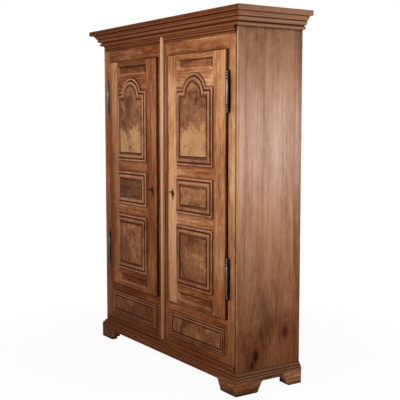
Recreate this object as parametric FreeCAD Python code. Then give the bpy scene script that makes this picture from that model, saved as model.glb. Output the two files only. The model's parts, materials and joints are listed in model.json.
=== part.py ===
"""Two-door walnut wardrobe, made up of the pieces that a joiner would cut for it.

Millimetres, +Z up, front towards -Y. The origin is on the floor under the middle of the whole piece.
The right half is drawn, and what the left half repeats is mirrored from it.
"""
import FreeCAD
import Part
import math
import os

# Whole piece
total_height = 1950.0
body_width = 1424.0
body_depth = 412.0
overrun = 5.0  # how far a cutter passes the face that it cuts

# Cornice, frieze and top
cornice_height = 92.0
cornice_front_out = 60.0
cornice_side_out = 82.0
frieze_height = 178.0
frieze_moulding_height = 32.0
frieze_moulding_out = 12.0
frieze_depth = 26.0
top_board_thickness = 18.0
top_board_sunk = 2.0
top_board_count = 3

# Base
foot_height = 74.0
foot_out = 20.0
foot_thickness = 32.0
foot_block = 50.0
foot_toe = 28.0
foot_toe_round = 13.0
foot_cove = 9.0
front_foot_front_arm = 168.0
front_foot_side_arm = 172.0
back_foot_side_arm = 124.0
back_foot_back_arm = 150.0
base_moulding_height = 37.0
base_moulding_out = 22.0
apron_drop = 18.0
apron_out = 18.0
base_bead_rise = 13.0
base_bead_height = 14.0
base_bead_out = 8.0

# Posts, sides and back
post_width = 80.0
post_depth = 44.0
corner_bead_radius = 9.0
quirk_width = 3.5
centre_post_width = 94.0
centre_strip_width = 40.0
centre_strip_out = 14.0
back_post_width = 40.0
back_post_depth = 52.0
side_thickness = 22.0
side_front_board_width = 121.0
back_board_thickness = 14.0
back_board_count = 6

# Fixed front below the doors
bottom_rail_height = 71.0
lower_panel_height = 140.0
middle_rail_height = 52.0
lower_stile_width = 31.0
lower_frame_depth = 26.0
lower_moulding_width = 28.0
lower_moulding_proud = 7.0
lower_bevel_width = 3.0
lower_field_rise = 15.0

# Doors
door_thickness = 28.0
door_proud = 12.0
door_side_gap = 10.0
door_end_gap = 4.0
stop_lap = 14.0
stop_gap = 1.0
stile_width = 108.0
door_bottom_rail_height = 107.0
door_lower_cross_height = 65.0
door_upper_cross_height = 64.0
door_top_rail_height = 182.0
panel_height_shares = (0.3551, 0.2101, 0.4348)  # lower, middle and arched opening, up to its shoulders
arch_half_width = 111.0
arch_rise = 79.0
tenon_length = 42.0
tenon_shoulder = 14.0
tray_end_margin = 3.0
tray_end_bevel = 25.0
tray_side_bevel = 11.0
tray_depth = 6.0
top_tray_height = 55.0
top_tray_drop = 28.0
bottom_tray_height = 50.0
bottom_tray_rise = 22.0

# Panels and their mouldings
panel_thickness = 12.0
panel_sunk = 9.0
panel_tongue = 8.0
panel_tongue_room = 1.0
moulding_width = 48.0
moulding_proud = 13.0
bevel_gap = 1.0
bevel_width = 4.0
field_rise = 20.5

# Hinges
hinge_length = 214.0
hinge_knuckle_length = 72.0
hinge_radius = 9.0
hinge_stand = 1.0
hinge_axis_in = 8.0
hinge_pin_radius = 4.5
hinge_pin_length = 56.0
hinge_pin_end_room = 2.0
hinge_pin_clearance = 0.06
hinge_leaf_thickness = 2.5
hinge_leaf_length = 32.0
hinge_leaf_inset = 0.5
hinge_leaf_margin = 6.0
hinge_height_shares = (0.156, 0.847)

# Locks and keys
right_backset = 66.0
left_backset = 44.0
lock_case_width = 78.0
lock_case_below = 35.0
lock_case_above = 40.0
lock_case_depth = 18.0
lock_case_wall = 2.0
lock_case_stand = 3.0
bolt_height = 18.0
bolt_thickness = 8.0
bolt_rise = 11.0
bolt_length = 74.0
bolt_throw = 16.0
bolt_clearance = 0.2
mortise_clearance = 0.6
escutcheon_half_height = 34.0
escutcheon_half_width = 14.0
escutcheon_thickness = 2.0
keyhole_radius = 4.5
keyhole_slot_width = 4.5
keyhole_slot_drop = 18.0
key_radius = 3.5
key_clearance = 0.06
key_out = 36.0
key_bow_radius = 11.0
key_bow_hole_radius = 7.0
key_bow_thickness = 4.0
key_bit_reach = 16.0
key_bit_thickness = 3.0
key_bit_depth = 8.0
key_bit_clearance = 1.0

# Inside
floor_thickness = 20.0
shelf_thickness = 22.0
shelf_set_back = 4.0
shelf_height_shares = (0.385, 0.645)
cleat_height = 30.0
cleat_width = 20.0

# Moulding sections as shares of their width and height. A step of two numbers is a straight line to that
# point. A step of four is an arc through the first point to the second.
cornice_shares = (
    (0.12, 0.0), (0.29, 0.105, 0.18, 0.21), (0.18, 0.245), (0.3, 0.245), (0.42, 0.33, 0.47, 0.46),
    (0.47, 0.5), (0.54, 0.5), (0.59, 0.62, 0.7, 0.685), (0.7, 0.7), (0.92, 0.7), (0.92, 0.717), (1.0, 0.717),
    (1.0, 1.0), (0.0, 1.0),
)
frieze_moulding_shares = (
    (0.25, 0.0), (0.5, 0.12, 0.25, 0.24), (0.25, 0.3), (0.358, 0.526, 0.62, 0.62), (0.62, 0.7),
    (0.889, 0.759, 1.0, 0.9), (1.0, 1.0), (0.0, 1.0),
)
base_moulding_shares = (
    (1.0, 0.0), (1.0, 0.34), (0.88, 0.34), (0.798, 0.538, 0.6, 0.62), (0.52, 0.62), (0.52, 0.7),
    (0.265, 0.776, 0.16, 0.96), (0.16, 1.0), (0.0, 1.0),
)
base_bead_shares = ((0.4, 0.0), (0.96, 0.42, 0.4, 0.94), (0.0, 1.0))
centre_strip_shares = (
    (0.0, 0.28), (0.07, 0.28), (0.5, 1.0, 0.93, 0.28), (1.0, 0.28), (1.0, 0.0),
)
moulding_shares = (
    (0.0, 0.36), (0.05, 0.36), (0.05, 0.5), (0.175, 0.69, 0.3, 0.5), (0.3, 0.43), (0.42, 0.43),
    (0.42, 0.77), (0.62, 0.91, 0.88, 0.97), (0.88, 0.82), (1.0, 0.82), (1.0, 0.0),
)
finial_shares = ((0.6, 0.14), (0.88, 0.42), (0.34, 1.0), (0.0, 1.0))
escutcheon_waist_share = 0.36

# Places that follow from the sizes
half_width = body_width / 2
front_y = (cornice_front_out - body_depth) / 2
back_y = front_y + body_depth
base_top = foot_height + base_moulding_height
carcass_top = total_height - top_board_sunk - top_board_thickness
cornice_bottom = total_height - cornice_height
post_inner = half_width - post_width
bead_edge = half_width - 2 * corner_bead_radius - quirk_width
centre_half = centre_post_width / 2
lower_panel_bottom = base_top + bottom_rail_height
lower_panel_top = lower_panel_bottom + lower_panel_height
opening_bottom = lower_panel_top + middle_rail_height
door_inner = centre_half + door_side_gap
door_outer = post_inner - door_side_gap
door_front = front_y - door_proud
door_back = door_front + door_thickness
stop_y = door_back + stop_gap
opening_top = carcass_top - frieze_height
door_bottom = opening_bottom + door_end_gap
door_top = opening_top - door_end_gap
cross_heights = door_lower_cross_height + door_upper_cross_height
panel_heights = door_top - door_bottom - door_bottom_rail_height - cross_heights - door_top_rail_height
lower_opening_bottom = door_bottom + door_bottom_rail_height
lower_opening_top = lower_opening_bottom + panel_heights * panel_height_shares[0]
middle_opening_bottom = lower_opening_top + door_lower_cross_height
middle_opening_top = middle_opening_bottom + panel_heights * panel_height_shares[1]
arch_opening_bottom = middle_opening_top + door_upper_cross_height
shoulder_z = arch_opening_bottom + panel_heights * panel_height_shares[2]
rail_start = door_inner + stile_width
rail_end = door_outer - stile_width
arch_x = (rail_start + rail_end) / 2
arch_radius = (arch_half_width ** 2 + arch_rise ** 2) / (2 * arch_rise)
arch_z = shoulder_z + arch_rise - arch_radius
hinge_x = post_inner + hinge_axis_in
hinge_y = front_y - hinge_radius - hinge_stand
lock_z = (middle_opening_bottom + middle_opening_top) / 2
lock_case_start = door_inner + stop_lap + lock_case_stand
lock_case_end = lock_case_start + lock_case_width
bolt_start = lock_case_start
bolt_y = door_back + (lock_case_depth - lock_case_wall - bolt_thickness) / 2
inside_half = half_width - side_thickness
back_inner = back_y - back_board_thickness
floor_bottom = foot_height + cleat_height
floor_top = floor_bottom + floor_thickness


def vec(x, y, z):
    return FreeCAD.Vector(x, y, z)


def block(x0, x1, y0, y1, z0, z1):
    return Part.makeBox(x1 - x0, y1 - y0, z1 - z0, vec(x0, y0, z0))


def mirrored(shape):
    return shape.mirror(vec(0, 0, 0), vec(1, 0, 0))


def pair(pieces):
    return Part.makeCompound(pieces + [mirrored(piece) for piece in pieces])


def polygon_face(points):
    return Part.Face(Part.makePolygon(points + points[:1]))


def round_corner(start, corner, end):
    """Quarter circle between two points that lie equally far from a square corner."""
    middle = corner + (start + end - corner * 2) * (1 - math.sqrt(0.5))
    return Part.Arc(start, middle, end).toShape()


def section(place, width, height, shares):
    """Closed face that starts at its lower inner corner and follows the steps of a table of shares."""
    first = place(0, 0)
    here = first
    edges = []
    for step in shares:
        points = [place(u * width, v * height) for u, v in zip(step[::2], step[1::2])]
        if len(points) == 1:
            edges.append(Part.makeLine(here, points[0]))
        else:
            edges.append(Part.Arc(here, *points).toShape())
        here = points[-1]
    edges.append(Part.makeLine(here, first))
    return Part.Face(Part.Wire(edges))


def front_run(shares, height, bottom, front_out, side_out):
    """Moulding along the front, mitred to the returns at both ends."""
    start = -half_width - side_out
    face = section(lambda o, z: vec(start, front_y - o, bottom + z), front_out, height, shares)
    run = face.extrude(vec(body_width + 2 * side_out, 0, 0))
    plan = polygon_face([
        vec(-half_width, front_y, bottom), vec(half_width, front_y, bottom),
        vec(half_width + side_out, front_y - front_out, bottom),
        vec(-half_width - side_out, front_y - front_out, bottom),
    ])
    return run.common(plan.extrude(vec(0, 0, height)))


def side_run(shares, height, bottom, front_out, side_out):
    """Moulding along the right side, mitred at the front and square at the back."""
    start = front_y - front_out
    face = section(lambda o, z: vec(half_width + o, start, bottom + z), side_out, height, shares)
    run = face.extrude(vec(0, body_depth + front_out, 0))
    plan = polygon_face([
        vec(half_width, front_y, bottom), vec(half_width + side_out, front_y - front_out, bottom),
        vec(half_width + side_out, back_y, bottom), vec(half_width, back_y, bottom),
    ])
    return run.common(plan.extrude(vec(0, 0, height)))


# Outlines of the panel openings, grown by a margin on every side

def rect_points(opening, margin):
    x0, x1, z0, z1 = opening
    return [(x0 - margin, z0 - margin), (x1 + margin, z0 - margin),
            (x1 + margin, z1 + margin), (x0 - margin, z1 + margin)]


def rect_outline(opening):
    def wire(margin, y):
        corners = [vec(x, y, z) for x, z in rect_points(opening, margin)]
        return Part.makePolygon(corners + corners[:1])
    return wire


def arch_spring(margin):
    """Half the width of the arch where it springs from its shoulders."""
    level = shoulder_z + margin - arch_z
    return math.sqrt((arch_radius + margin) ** 2 - level ** 2)


def arch_arc(margin, y):
    spring = arch_spring(margin)
    z = shoulder_z + margin
    return Part.Arc(vec(arch_x + spring, y, z), vec(arch_x, y, arch_z + arch_radius + margin),
                    vec(arch_x - spring, y, z)).toShape()


def arch_outline(margin, y):
    x0 = rail_start - margin
    x1 = rail_end + margin
    z0 = arch_opening_bottom - margin
    z1 = shoulder_z + margin
    arc = arch_arc(margin, y)
    right = [vec(x0, y, z0), vec(x1, y, z0), vec(x1, y, z1), arc.Vertexes[0].Point]
    left = [arc.Vertexes[-1].Point, vec(x0, y, z1), vec(x0, y, z0)]
    lines = [Part.makeLine(a, b) for run in (right, left) for a, b in zip(run, run[1:])]
    return Part.Wire(lines[:len(right) - 1] + [arc] + lines[len(right) - 1:])


def sloped(first, last):
    """Solid between two outlines with the same number of sides, with plane faces where both are straight."""
    sides = []
    for a, b in zip(first.OrderedEdges, last.OrderedEdges):
        side = Part.makeRuledSurface(a, b)
        if a.Curve.TypeId == "Part::GeomLine":
            side = polygon_face([a.Vertexes[0].Point, a.Vertexes[1].Point, b.Vertexes[1].Point, b.Vertexes[0].Point])
        sides.append(side)
    shell = Part.Shell([Part.Face(first), Part.Face(last)] + sides)
    return Part.makeSolid(shell)


# Panels and the mitred strips round them

def panel_board(outline, face_y, strip_width, slope_width, rise):
    """Board with a tongue all round and a bevelled raised field inside its moulding."""
    seat_y = face_y + panel_sunk
    board = Part.Face(outline(panel_tongue, seat_y)).extrude(vec(0, panel_thickness, 0))
    foot = outline(-strip_width - bevel_gap, seat_y)
    crest = outline(-strip_width - bevel_gap - slope_width, seat_y - rise)
    return board.fuse(sloped(foot, crest)).removeSplitter()


def panel_groove(outline, face_y):
    face = Part.Face(outline(panel_tongue + panel_tongue_room, face_y + panel_sunk))
    return face.extrude(vec(0, panel_thickness, 0))


def region(edges, face_y, proud):
    """Upright prism that trims a strip to its mitres."""
    face = Part.Face(Part.Wire(edges))
    face.translate(vec(0, face_y - proud - overrun, 0))
    return face.extrude(vec(0, proud + panel_sunk + 2 * overrun, 0))


def flat(point):
    return vec(point[0], 0, point[1])


def straight_strip(outer, inner, face_y, width, proud, end=None):
    """Strip whose outer edge runs between two points, trimmed to its inner points and an end curve."""
    a, b = (flat(p) for p in outer)
    c, d = (flat(p) for p in inner)
    along = b - a
    along.normalize()
    inward = vec(-along.z, 0, along.x)
    if inward.dot(c - a) < 0:
        inward = inward * -1
    spare = along * width
    start = a - spare

    def place(u, h):
        return start + inward * u + vec(0, face_y + panel_sunk - h, 0)

    run = section(place, width, proud + panel_sunk, moulding_shares).extrude(b - a + spare * 2)
    finish = end or Part.makeLine(b, d)
    edges = [Part.makeLine(a, b), finish, Part.makeLine(d, c), Part.makeLine(c, a)]
    return run.common(region(Part.__sortEdges__(edges), face_y, proud))


def rect_strips(opening, face_y, width, proud):
    outer = rect_points(opening, 0)
    inner = rect_points(opening, -width)
    strips = []
    for i in range(len(outer)):
        j = (i + 1) % len(outer)
        strips.append(straight_strip((outer[i], outer[j]), (inner[i], inner[j]), face_y, width, proud))
    return strips


def arch_mitre(side, width):
    """Mitre between a shoulder and the arch: the parabola as far from the line as from the circle."""
    outer = arch_spring(0)
    inner = arch_spring(-width)
    slope = outer / (arch_radius - shoulder_z + arch_z)
    pull_x = (outer + inner) / 2
    points = ((outer, 0), (pull_x, (pull_x - outer) * slope), (inner, -width))
    mitre = Part.BezierCurve()
    mitre.setPoles([vec(arch_x + side * x, 0, shoulder_z + drop) for x, drop in points])
    return mitre.toShape()


def arch_strips(face_y, width, proud):
    """Strips round the arched panel: bottom, two sides, two shoulders and the arch."""
    outer = rect_points((rail_start, rail_end, arch_opening_bottom, shoulder_z), 0)
    inner = rect_points((rail_start, rail_end, arch_opening_bottom, shoulder_z), -width)
    strips = []
    for i, j in ((0, 1), (1, 2), (3, 0)):
        strips.append(straight_strip((outer[i], outer[j]), (inner[i], inner[j]), face_y, width, proud))
    for side, corner in ((1, 2), (-1, 3)):
        mitre = arch_mitre(side, width)
        ends = [(v.Point.x, v.Point.z) for v in (mitre.Vertexes[0], mitre.Vertexes[-1])]
        strips.append(straight_strip((outer[corner], ends[0]), (inner[corner], ends[1]),
                                     face_y, width, proud, mitre))

    def place(u, h):
        return vec(arch_x + arch_radius - u, face_y + panel_sunk - h, arch_z)

    ring = section(place, width, proud + panel_sunk, moulding_shares)
    ring = ring.revolve(vec(arch_x, 0, arch_z), vec(0, 1, 0), 360)
    edges = [arch_arc(0, 0), arch_mitre(-1, width), arch_arc(-width, 0), arch_mitre(1, width)]
    strips.append(ring.common(region(Part.__sortEdges__(edges), face_y, proud)))
    return strips


# Base

def foot_arm(place, length, run):
    """Bracket of one foot, drawn by distance from the corner and by height."""
    floor_end = length - foot_toe
    apron_z = foot_height - apron_drop
    slope_end = (length - foot_cove, apron_z - foot_cove)
    points = [(length, apron_z), (length, foot_height), (0, foot_height), (0, 0), (floor_end - foot_toe_round, 0)]
    corners = [place(*p) for p in points]
    toe_top = place(floor_end, foot_toe_round)
    edges = [Part.makeLine(p, q) for p, q in zip(corners, corners[1:])]
    edges.append(round_corner(corners[-1], place(floor_end, 0), toe_top))
    edges.append(Part.makeLine(toe_top, place(*slope_end)))
    edges.append(round_corner(place(*slope_end), place(length - foot_cove, apron_z), corners[0]))
    return Part.Face(Part.Wire(edges)).extrude(run)


def corner_foot(corner_y, into, side_arm, across_arm):
    """Two brackets mitred at the corner of the right side, with a block glued in behind them."""
    x = half_width + foot_out
    t = foot_thickness
    across = foot_arm(lambda s, z: vec(x - s, corner_y, z), across_arm, vec(0, into * t, 0))
    along = foot_arm(lambda s, z: vec(x, corner_y + into * s, z), side_arm, vec(-t, 0, 0))
    corner = [vec(x, corner_y, 0), vec(x - t, corner_y + into * t, 0)]
    side_half = polygon_face(corner + [vec(x, corner_y + into * t, 0)]).extrude(vec(0, 0, foot_height))
    across_half = polygon_face(corner + [vec(x - t, corner_y, 0)]).extrude(vec(0, 0, foot_height))
    inner_y = corner_y + into * t
    y0, y1 = sorted((inner_y, inner_y + into * foot_block))
    glue_block = block(x - t - foot_block, x - t, y0, y1, 0, foot_height)
    return Part.makeCompound([across.cut(side_half), along.cut(across_half), glue_block])


def base_mouldings():
    sizes = (base_moulding_shares, base_moulding_height, foot_height, base_moulding_out, base_moulding_out)
    front_end = half_width + foot_out - front_foot_front_arm
    apron_z = foot_height - apron_drop
    front_apron = block(-front_end, front_end, front_y - apron_out, front_y, apron_z, foot_height)
    side_start = front_y - foot_out + front_foot_side_arm
    side_apron = block(half_width, half_width + apron_out, side_start, back_y - back_foot_side_arm,
                       apron_z, foot_height)
    front = front_run(*sizes).fuse(front_apron).removeSplitter()
    right = side_run(*sizes).fuse(side_apron).removeSplitter()
    return front, right


def base_bead():
    face = section(lambda o, z: vec(-bead_edge, front_y - o, base_top + base_bead_rise + z),
                   base_bead_out, base_bead_height, base_bead_shares)
    return face.extrude(vec(2 * bead_edge, 0, 0))


# Carcass

def hinge_middles():
    return [door_bottom + share * (door_top - door_bottom) for share in hinge_height_shares]


def front_post():
    """Right corner post: door stop behind, quirked bead on its corner, slots for the hinge leaves."""
    bead_x = half_width - corner_bead_radius
    bead_y = front_y + corner_bead_radius
    rear_y = front_y + post_depth
    plan = ((half_width, bead_y), (half_width, rear_y), (post_inner, rear_y), (post_inner, front_y),
            (bead_edge, front_y), (bead_edge, bead_y), (bead_x - corner_bead_radius, bead_y))
    corners = [vec(x, y, foot_height) for x, y in plan]
    edges = [Part.makeLine(a, b) for a, b in zip(corners, corners[1:])]
    edges.append(Part.Arc(corners[-1], vec(bead_x, front_y, foot_height), corners[0]).toShape())
    post = Part.Face(Part.Wire(edges)).extrude(vec(0, 0, carcass_top - foot_height))
    stop = block(door_outer - stop_lap, post_inner, stop_y, rear_y, opening_bottom, carcass_top)
    return post.fuse(stop).cut([frame_leaf(z) for z in hinge_middles()]).removeSplitter()


def centre_post():
    """Post with a narrow face between the doors, a wider stop behind them and a mortise for each bolt."""
    stop_half = door_inner + stop_lap
    rear_y = front_y + post_depth
    post = block(-centre_half, centre_half, front_y, rear_y, foot_height, carcass_top)
    stop = block(-stop_half, stop_half, stop_y, rear_y, opening_bottom, carcass_top)
    c = mortise_clearance
    mortise = block(bolt_start - bolt_throw - c, stop_half + overrun, bolt_y - c, bolt_y + bolt_thickness + c,
                    lock_z + bolt_rise - c, lock_z + bolt_rise + bolt_height + c)
    return post.fuse(stop).cut([mortise, mirrored(mortise)]).removeSplitter()


def centre_strip():
    bottom = base_top + base_bead_rise + base_bead_height
    face = section(lambda x, o: vec(x - centre_strip_width / 2, front_y - o, bottom),
                   centre_strip_width, centre_strip_out, centre_strip_shares)
    return face.extrude(vec(0, 0, cornice_bottom - bottom))


def frieze_rail():
    """Right rail above the door, with a stop for the door behind its lower edge."""
    rail = block(centre_half, post_inner, front_y, front_y + frieze_depth, opening_top, carcass_top)
    stop = block(centre_half, post_inner, stop_y, front_y + frieze_depth,
                 opening_top - door_end_gap - stop_lap, opening_top)
    return rail.fuse(stop).removeSplitter()


def frieze_moulding():
    bottom = cornice_bottom - frieze_moulding_height
    start = centre_strip_width / 2
    face = section(lambda o, z: vec(start, front_y - o, bottom + z),
                   frieze_moulding_out, frieze_moulding_height, frieze_moulding_shares)
    return face.extrude(vec(bead_edge - start, 0, 0))


def lower_opening():
    return (centre_half + lower_stile_width, post_inner - lower_stile_width, lower_panel_bottom, lower_panel_top)


def lower_front():
    """Rails and stiles of the fixed front below the right door, grooved for its panel."""
    x0, x1, z0, z1 = lower_opening()
    depth_y = front_y + lower_frame_depth
    bottom_rail = block(centre_half, post_inner, front_y, depth_y, foot_height, z0)
    middle_rail = block(centre_half, post_inner, front_y, depth_y, z1, opening_bottom)
    stop = block(centre_half, post_inner, stop_y, depth_y, opening_bottom, door_bottom + stop_lap)
    middle_rail = middle_rail.fuse(stop).removeSplitter()
    stiles = [block(centre_half, x0, front_y, depth_y, z0, z1), block(x1, post_inner, front_y, depth_y, z0, z1)]
    groove = panel_groove(rect_outline(lower_opening()), front_y)
    return [bottom_rail.cut(groove), middle_rail.cut(groove)], [stile.cut(groove) for stile in stiles]


def side_boards():
    """Two upright boards between the right posts."""
    joint = front_y + post_depth + side_front_board_width
    edges = (front_y + post_depth, joint, back_y - back_post_depth)
    return [block(inside_half, half_width, a, b, foot_height, carcass_top) for a, b in zip(edges, edges[1:])]


def back_boards():
    half = half_width - back_post_width
    width = 2 * half / back_board_count
    return [block(-half + i * width, -half + (i + 1) * width, back_inner, back_y, foot_height, carcass_top)
            for i in range(back_board_count)]


def top_boards():
    width = body_depth / top_board_count
    return [block(-half_width, half_width, front_y + i * width, front_y + (i + 1) * width,
                  carcass_top, carcass_top + top_board_thickness) for i in range(top_board_count)]


def shelf_bottoms():
    return [floor_top + share * (carcass_top - floor_top) for share in shelf_height_shares]


def cleats():
    """Bearers on the right side boards, under the floor and each shelf."""
    return [block(inside_half - cleat_width, inside_half, front_y + post_depth, back_y - back_post_depth,
                  top - cleat_height, top) for top in [floor_bottom] + shelf_bottoms()]


# Doors

def tray(bottom, height):
    """Sunk tray with sloping sides, cut into a rail of the door."""
    outer = (rail_start + tray_end_margin, rail_end - tray_end_margin, bottom, bottom + height)
    inner = (outer[0] + tray_end_bevel, outer[1] - tray_end_bevel,
             bottom + tray_side_bevel, bottom + height - tray_side_bevel)
    return sloped(rect_outline(outer)(0, door_front), rect_outline(inner)(0, door_front + tray_depth))


def rail(z0, z1):
    """Door rail between the stiles, and its two tenons."""
    y0 = door_front + panel_sunk
    body = block(rail_start, rail_end, door_front, door_back, z0, z1)
    tenons = block(rail_start - tenon_length, rail_end + tenon_length, y0, y0 + panel_thickness,
                   z0 + tenon_shoulder, z1 - tenon_shoulder)
    return body.fuse(tenons).removeSplitter()


def door_openings():
    middle = (rail_start, rail_end, middle_opening_bottom, middle_opening_top)
    lower = (rail_start, rail_end, lower_opening_bottom, lower_opening_top)
    return middle, lower


def door_frame(prefix, key_x, hinge_leaves):
    """Stiles and rails of a door, grooved for the panels and mortised for the rails and the lock."""
    middle, lower = door_openings()
    outlines = [arch_outline, rect_outline(middle), rect_outline(lower)]
    grooves = [panel_groove(outline, door_front) for outline in outlines]
    opening = Part.Face(arch_outline(0, door_front)).extrude(vec(0, door_thickness, 0))
    top_tray = tray(door_top - top_tray_drop - top_tray_height, top_tray_height)
    bottom_tray = tray(door_bottom + bottom_tray_rise, bottom_tray_height)
    rails = [
        rail(shoulder_z, door_top).cut([opening, grooves[0], top_tray]),
        rail(middle_opening_top, arch_opening_bottom).cut(grooves[:2]),
        rail(lower_opening_top, middle_opening_bottom).cut(grooves[1:]),
        rail(door_bottom, lower_opening_bottom).cut([grooves[2], bottom_tray]),
    ]
    cutters = grooves + rails
    lock_stile = block(door_inner, rail_start, door_front, door_back, door_bottom, door_top)
    hinge_stile = block(rail_end, door_outer, door_front, door_back, door_bottom, door_top)
    pieces = {
        "hinge_stile": hinge_stile.cut(cutters + hinge_leaves),
        "lock_stile": lock_stile.cut(cutters + [keyhole(key_x, door_front, door_thickness)]),
        "rails": Part.makeCompound(rails),
        "arched_panel": panel_board(arch_outline, door_front, moulding_width, bevel_width, field_rise),
        "middle_panel": panel_board(outlines[1], door_front, moulding_width, bevel_width, field_rise),
        "lower_panel": panel_board(outlines[2], door_front, moulding_width, bevel_width, field_rise),
    }
    strips = arch_strips(door_front, moulding_width, moulding_proud)
    for opening in (middle, lower):
        strips += rect_strips(opening, door_front, moulding_width, moulding_proud)
    pieces["mouldings"] = Part.makeCompound(strips)
    return {prefix + name: shape for name, shape in pieces.items()}


# Hinges

def hinge_turning(middle, up):
    """Turned half of a hinge: plain knuckle from the middle outwards, then its finial."""
    finial_length = hinge_length / 2 - hinge_knuckle_length
    outline = [(0, 0), (hinge_radius, 0), (hinge_radius, hinge_knuckle_length)]
    for r, z in finial_shares:
        outline.append((r * hinge_radius, hinge_knuckle_length + z * finial_length))
    face = polygon_face([vec(hinge_x + r, hinge_y, middle + up * z) for r, z in outline])
    return face.revolve(vec(hinge_x, hinge_y, 0), vec(0, 0, 1), 360)


def leaf_heights(middle, up):
    ends = (middle + up * hinge_leaf_margin, middle + up * (hinge_knuckle_length - hinge_leaf_margin))
    return min(ends), max(ends)


def frame_leaf(middle):
    """Leaf of the lower half, let into the post."""
    half = hinge_leaf_thickness / 2
    z0, z1 = leaf_heights(middle, -1)
    return block(hinge_x - half, hinge_x + half, hinge_y, front_y + hinge_leaf_length, z0, z1)


def door_leaf(middle):
    """Leaf of the upper half, let into the edge of the hinge stile."""
    y1 = hinge_y + hinge_radius - hinge_leaf_inset
    z0, z1 = leaf_heights(middle, 1)
    return block(door_outer - hinge_leaf_length, hinge_x, y1 - hinge_leaf_thickness, y1, z0, z1)


def hinge_frame_half(middle):
    pin = Part.makeCylinder(hinge_pin_radius, hinge_pin_length, vec(hinge_x, hinge_y, middle))
    return hinge_turning(middle, -1).fuse([frame_leaf(middle), pin]).removeSplitter()


def hinge_door_half(middle):
    bore = Part.makeCylinder(hinge_pin_radius + hinge_pin_clearance, hinge_pin_length + hinge_pin_end_room,
                             vec(hinge_x, hinge_y, middle))
    return hinge_turning(middle, 1).fuse(door_leaf(middle)).cut(bore).removeSplitter()


# Locks

def keyhole(key_x, y, depth):
    """Round hole and slot that let the key and its bit through."""
    hole = Part.makeCylinder(keyhole_radius, depth, vec(key_x, y, lock_z), vec(0, 1, 0))
    slot = block(key_x - keyhole_slot_width / 2, key_x + keyhole_slot_width / 2, y, y + depth,
                 lock_z - keyhole_slot_drop, lock_z)
    return hole.fuse(slot)


def escutcheon(key_x):
    """Iron plate round the keyhole, drawn in to a point at each of its four ends."""
    y = door_front - escutcheon_thickness
    centre = vec(key_x, y, lock_z)
    up = vec(0, 0, escutcheon_half_height)
    out = vec(escutcheon_half_width, 0, 0)
    tips = (up, out, vec(0, 0, -escutcheon_half_height), vec(-escutcheon_half_width, 0, 0))
    points = []
    for a, b in zip(tips, tips[1:] + tips[:1]):
        points += [centre + a, centre + (a + b) * escutcheon_waist_share]
    plate = polygon_face(points).extrude(vec(0, escutcheon_thickness, 0))
    return plate.cut(keyhole(key_x, y, escutcheon_thickness))


def bolt_bar():
    return block(bolt_start, bolt_start + bolt_length, bolt_y, bolt_y + bolt_thickness,
                 lock_z + bolt_rise, lock_z + bolt_rise + bolt_height)


def bolt(key_x):
    """Bolt with the notch in which the key's bit turns as it drives the bolt out."""
    chord = math.sqrt(key_bit_reach ** 2 - bolt_rise ** 2)
    lead = bolt_throw * math.asin(bolt_rise / key_bit_reach) / math.pi
    room = key_bit_thickness / 2 + key_bit_clearance
    notch = block(key_x - chord + bolt_throw - lead - room, key_x + chord + lead + room,
                  bolt_y, bolt_y + bolt_thickness,
                  lock_z + bolt_rise, lock_z + key_bit_reach + key_bit_clearance)
    return bolt_bar().cut(notch)


def lock_case(key_x):
    """Iron case on the back of the lock stile, open towards the stile."""
    w = lock_case_wall
    z0 = lock_z - lock_case_below
    z1 = lock_z + lock_case_above
    back = door_back + lock_case_depth
    case = block(lock_case_start, lock_case_end, door_back, back, z0, z1)
    hollow = block(lock_case_start + w, lock_case_end - w, door_back, back - w, z0 + w, z1 - w)
    c = bolt_clearance
    mouth = block(lock_case_start, lock_case_start + w, bolt_y - c, bolt_y + bolt_thickness + c,
                  lock_z + bolt_rise - c, lock_z + bolt_rise + bolt_height + c)
    bearing = Part.makeCylinder(key_radius + key_clearance, w, vec(key_x, back - w, lock_z), vec(0, 1, 0))
    return case.cut([hollow, mouth, bearing])


def key(key_x):
    """Key with a ring bow that lies level, and a bit that points away from the bolt's mouth."""
    back = door_back + lock_case_depth
    bow_y = door_front - key_out + key_bow_radius
    shank_y = bow_y + (key_bow_radius + key_bow_hole_radius) / 2
    axis = vec(0, 1, 0)
    bow_place = vec(key_x, bow_y, lock_z - key_bow_thickness / 2)
    bow_hole = Part.makeCylinder(key_bow_hole_radius, key_bow_thickness, bow_place)
    bow = Part.makeCylinder(key_bow_radius, key_bow_thickness, bow_place).cut(bow_hole)
    shank = Part.makeCylinder(key_radius, back - shank_y, vec(key_x, shank_y, lock_z), axis)
    bit_y = bolt_y + (bolt_thickness - key_bit_depth) / 2
    bit = block(key_x, key_x + key_bit_reach, bit_y, bit_y + key_bit_depth,
                lock_z - key_bit_thickness / 2, lock_z + key_bit_thickness / 2)
    return shank.fuse([bow, bit]).removeSplitter()


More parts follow.
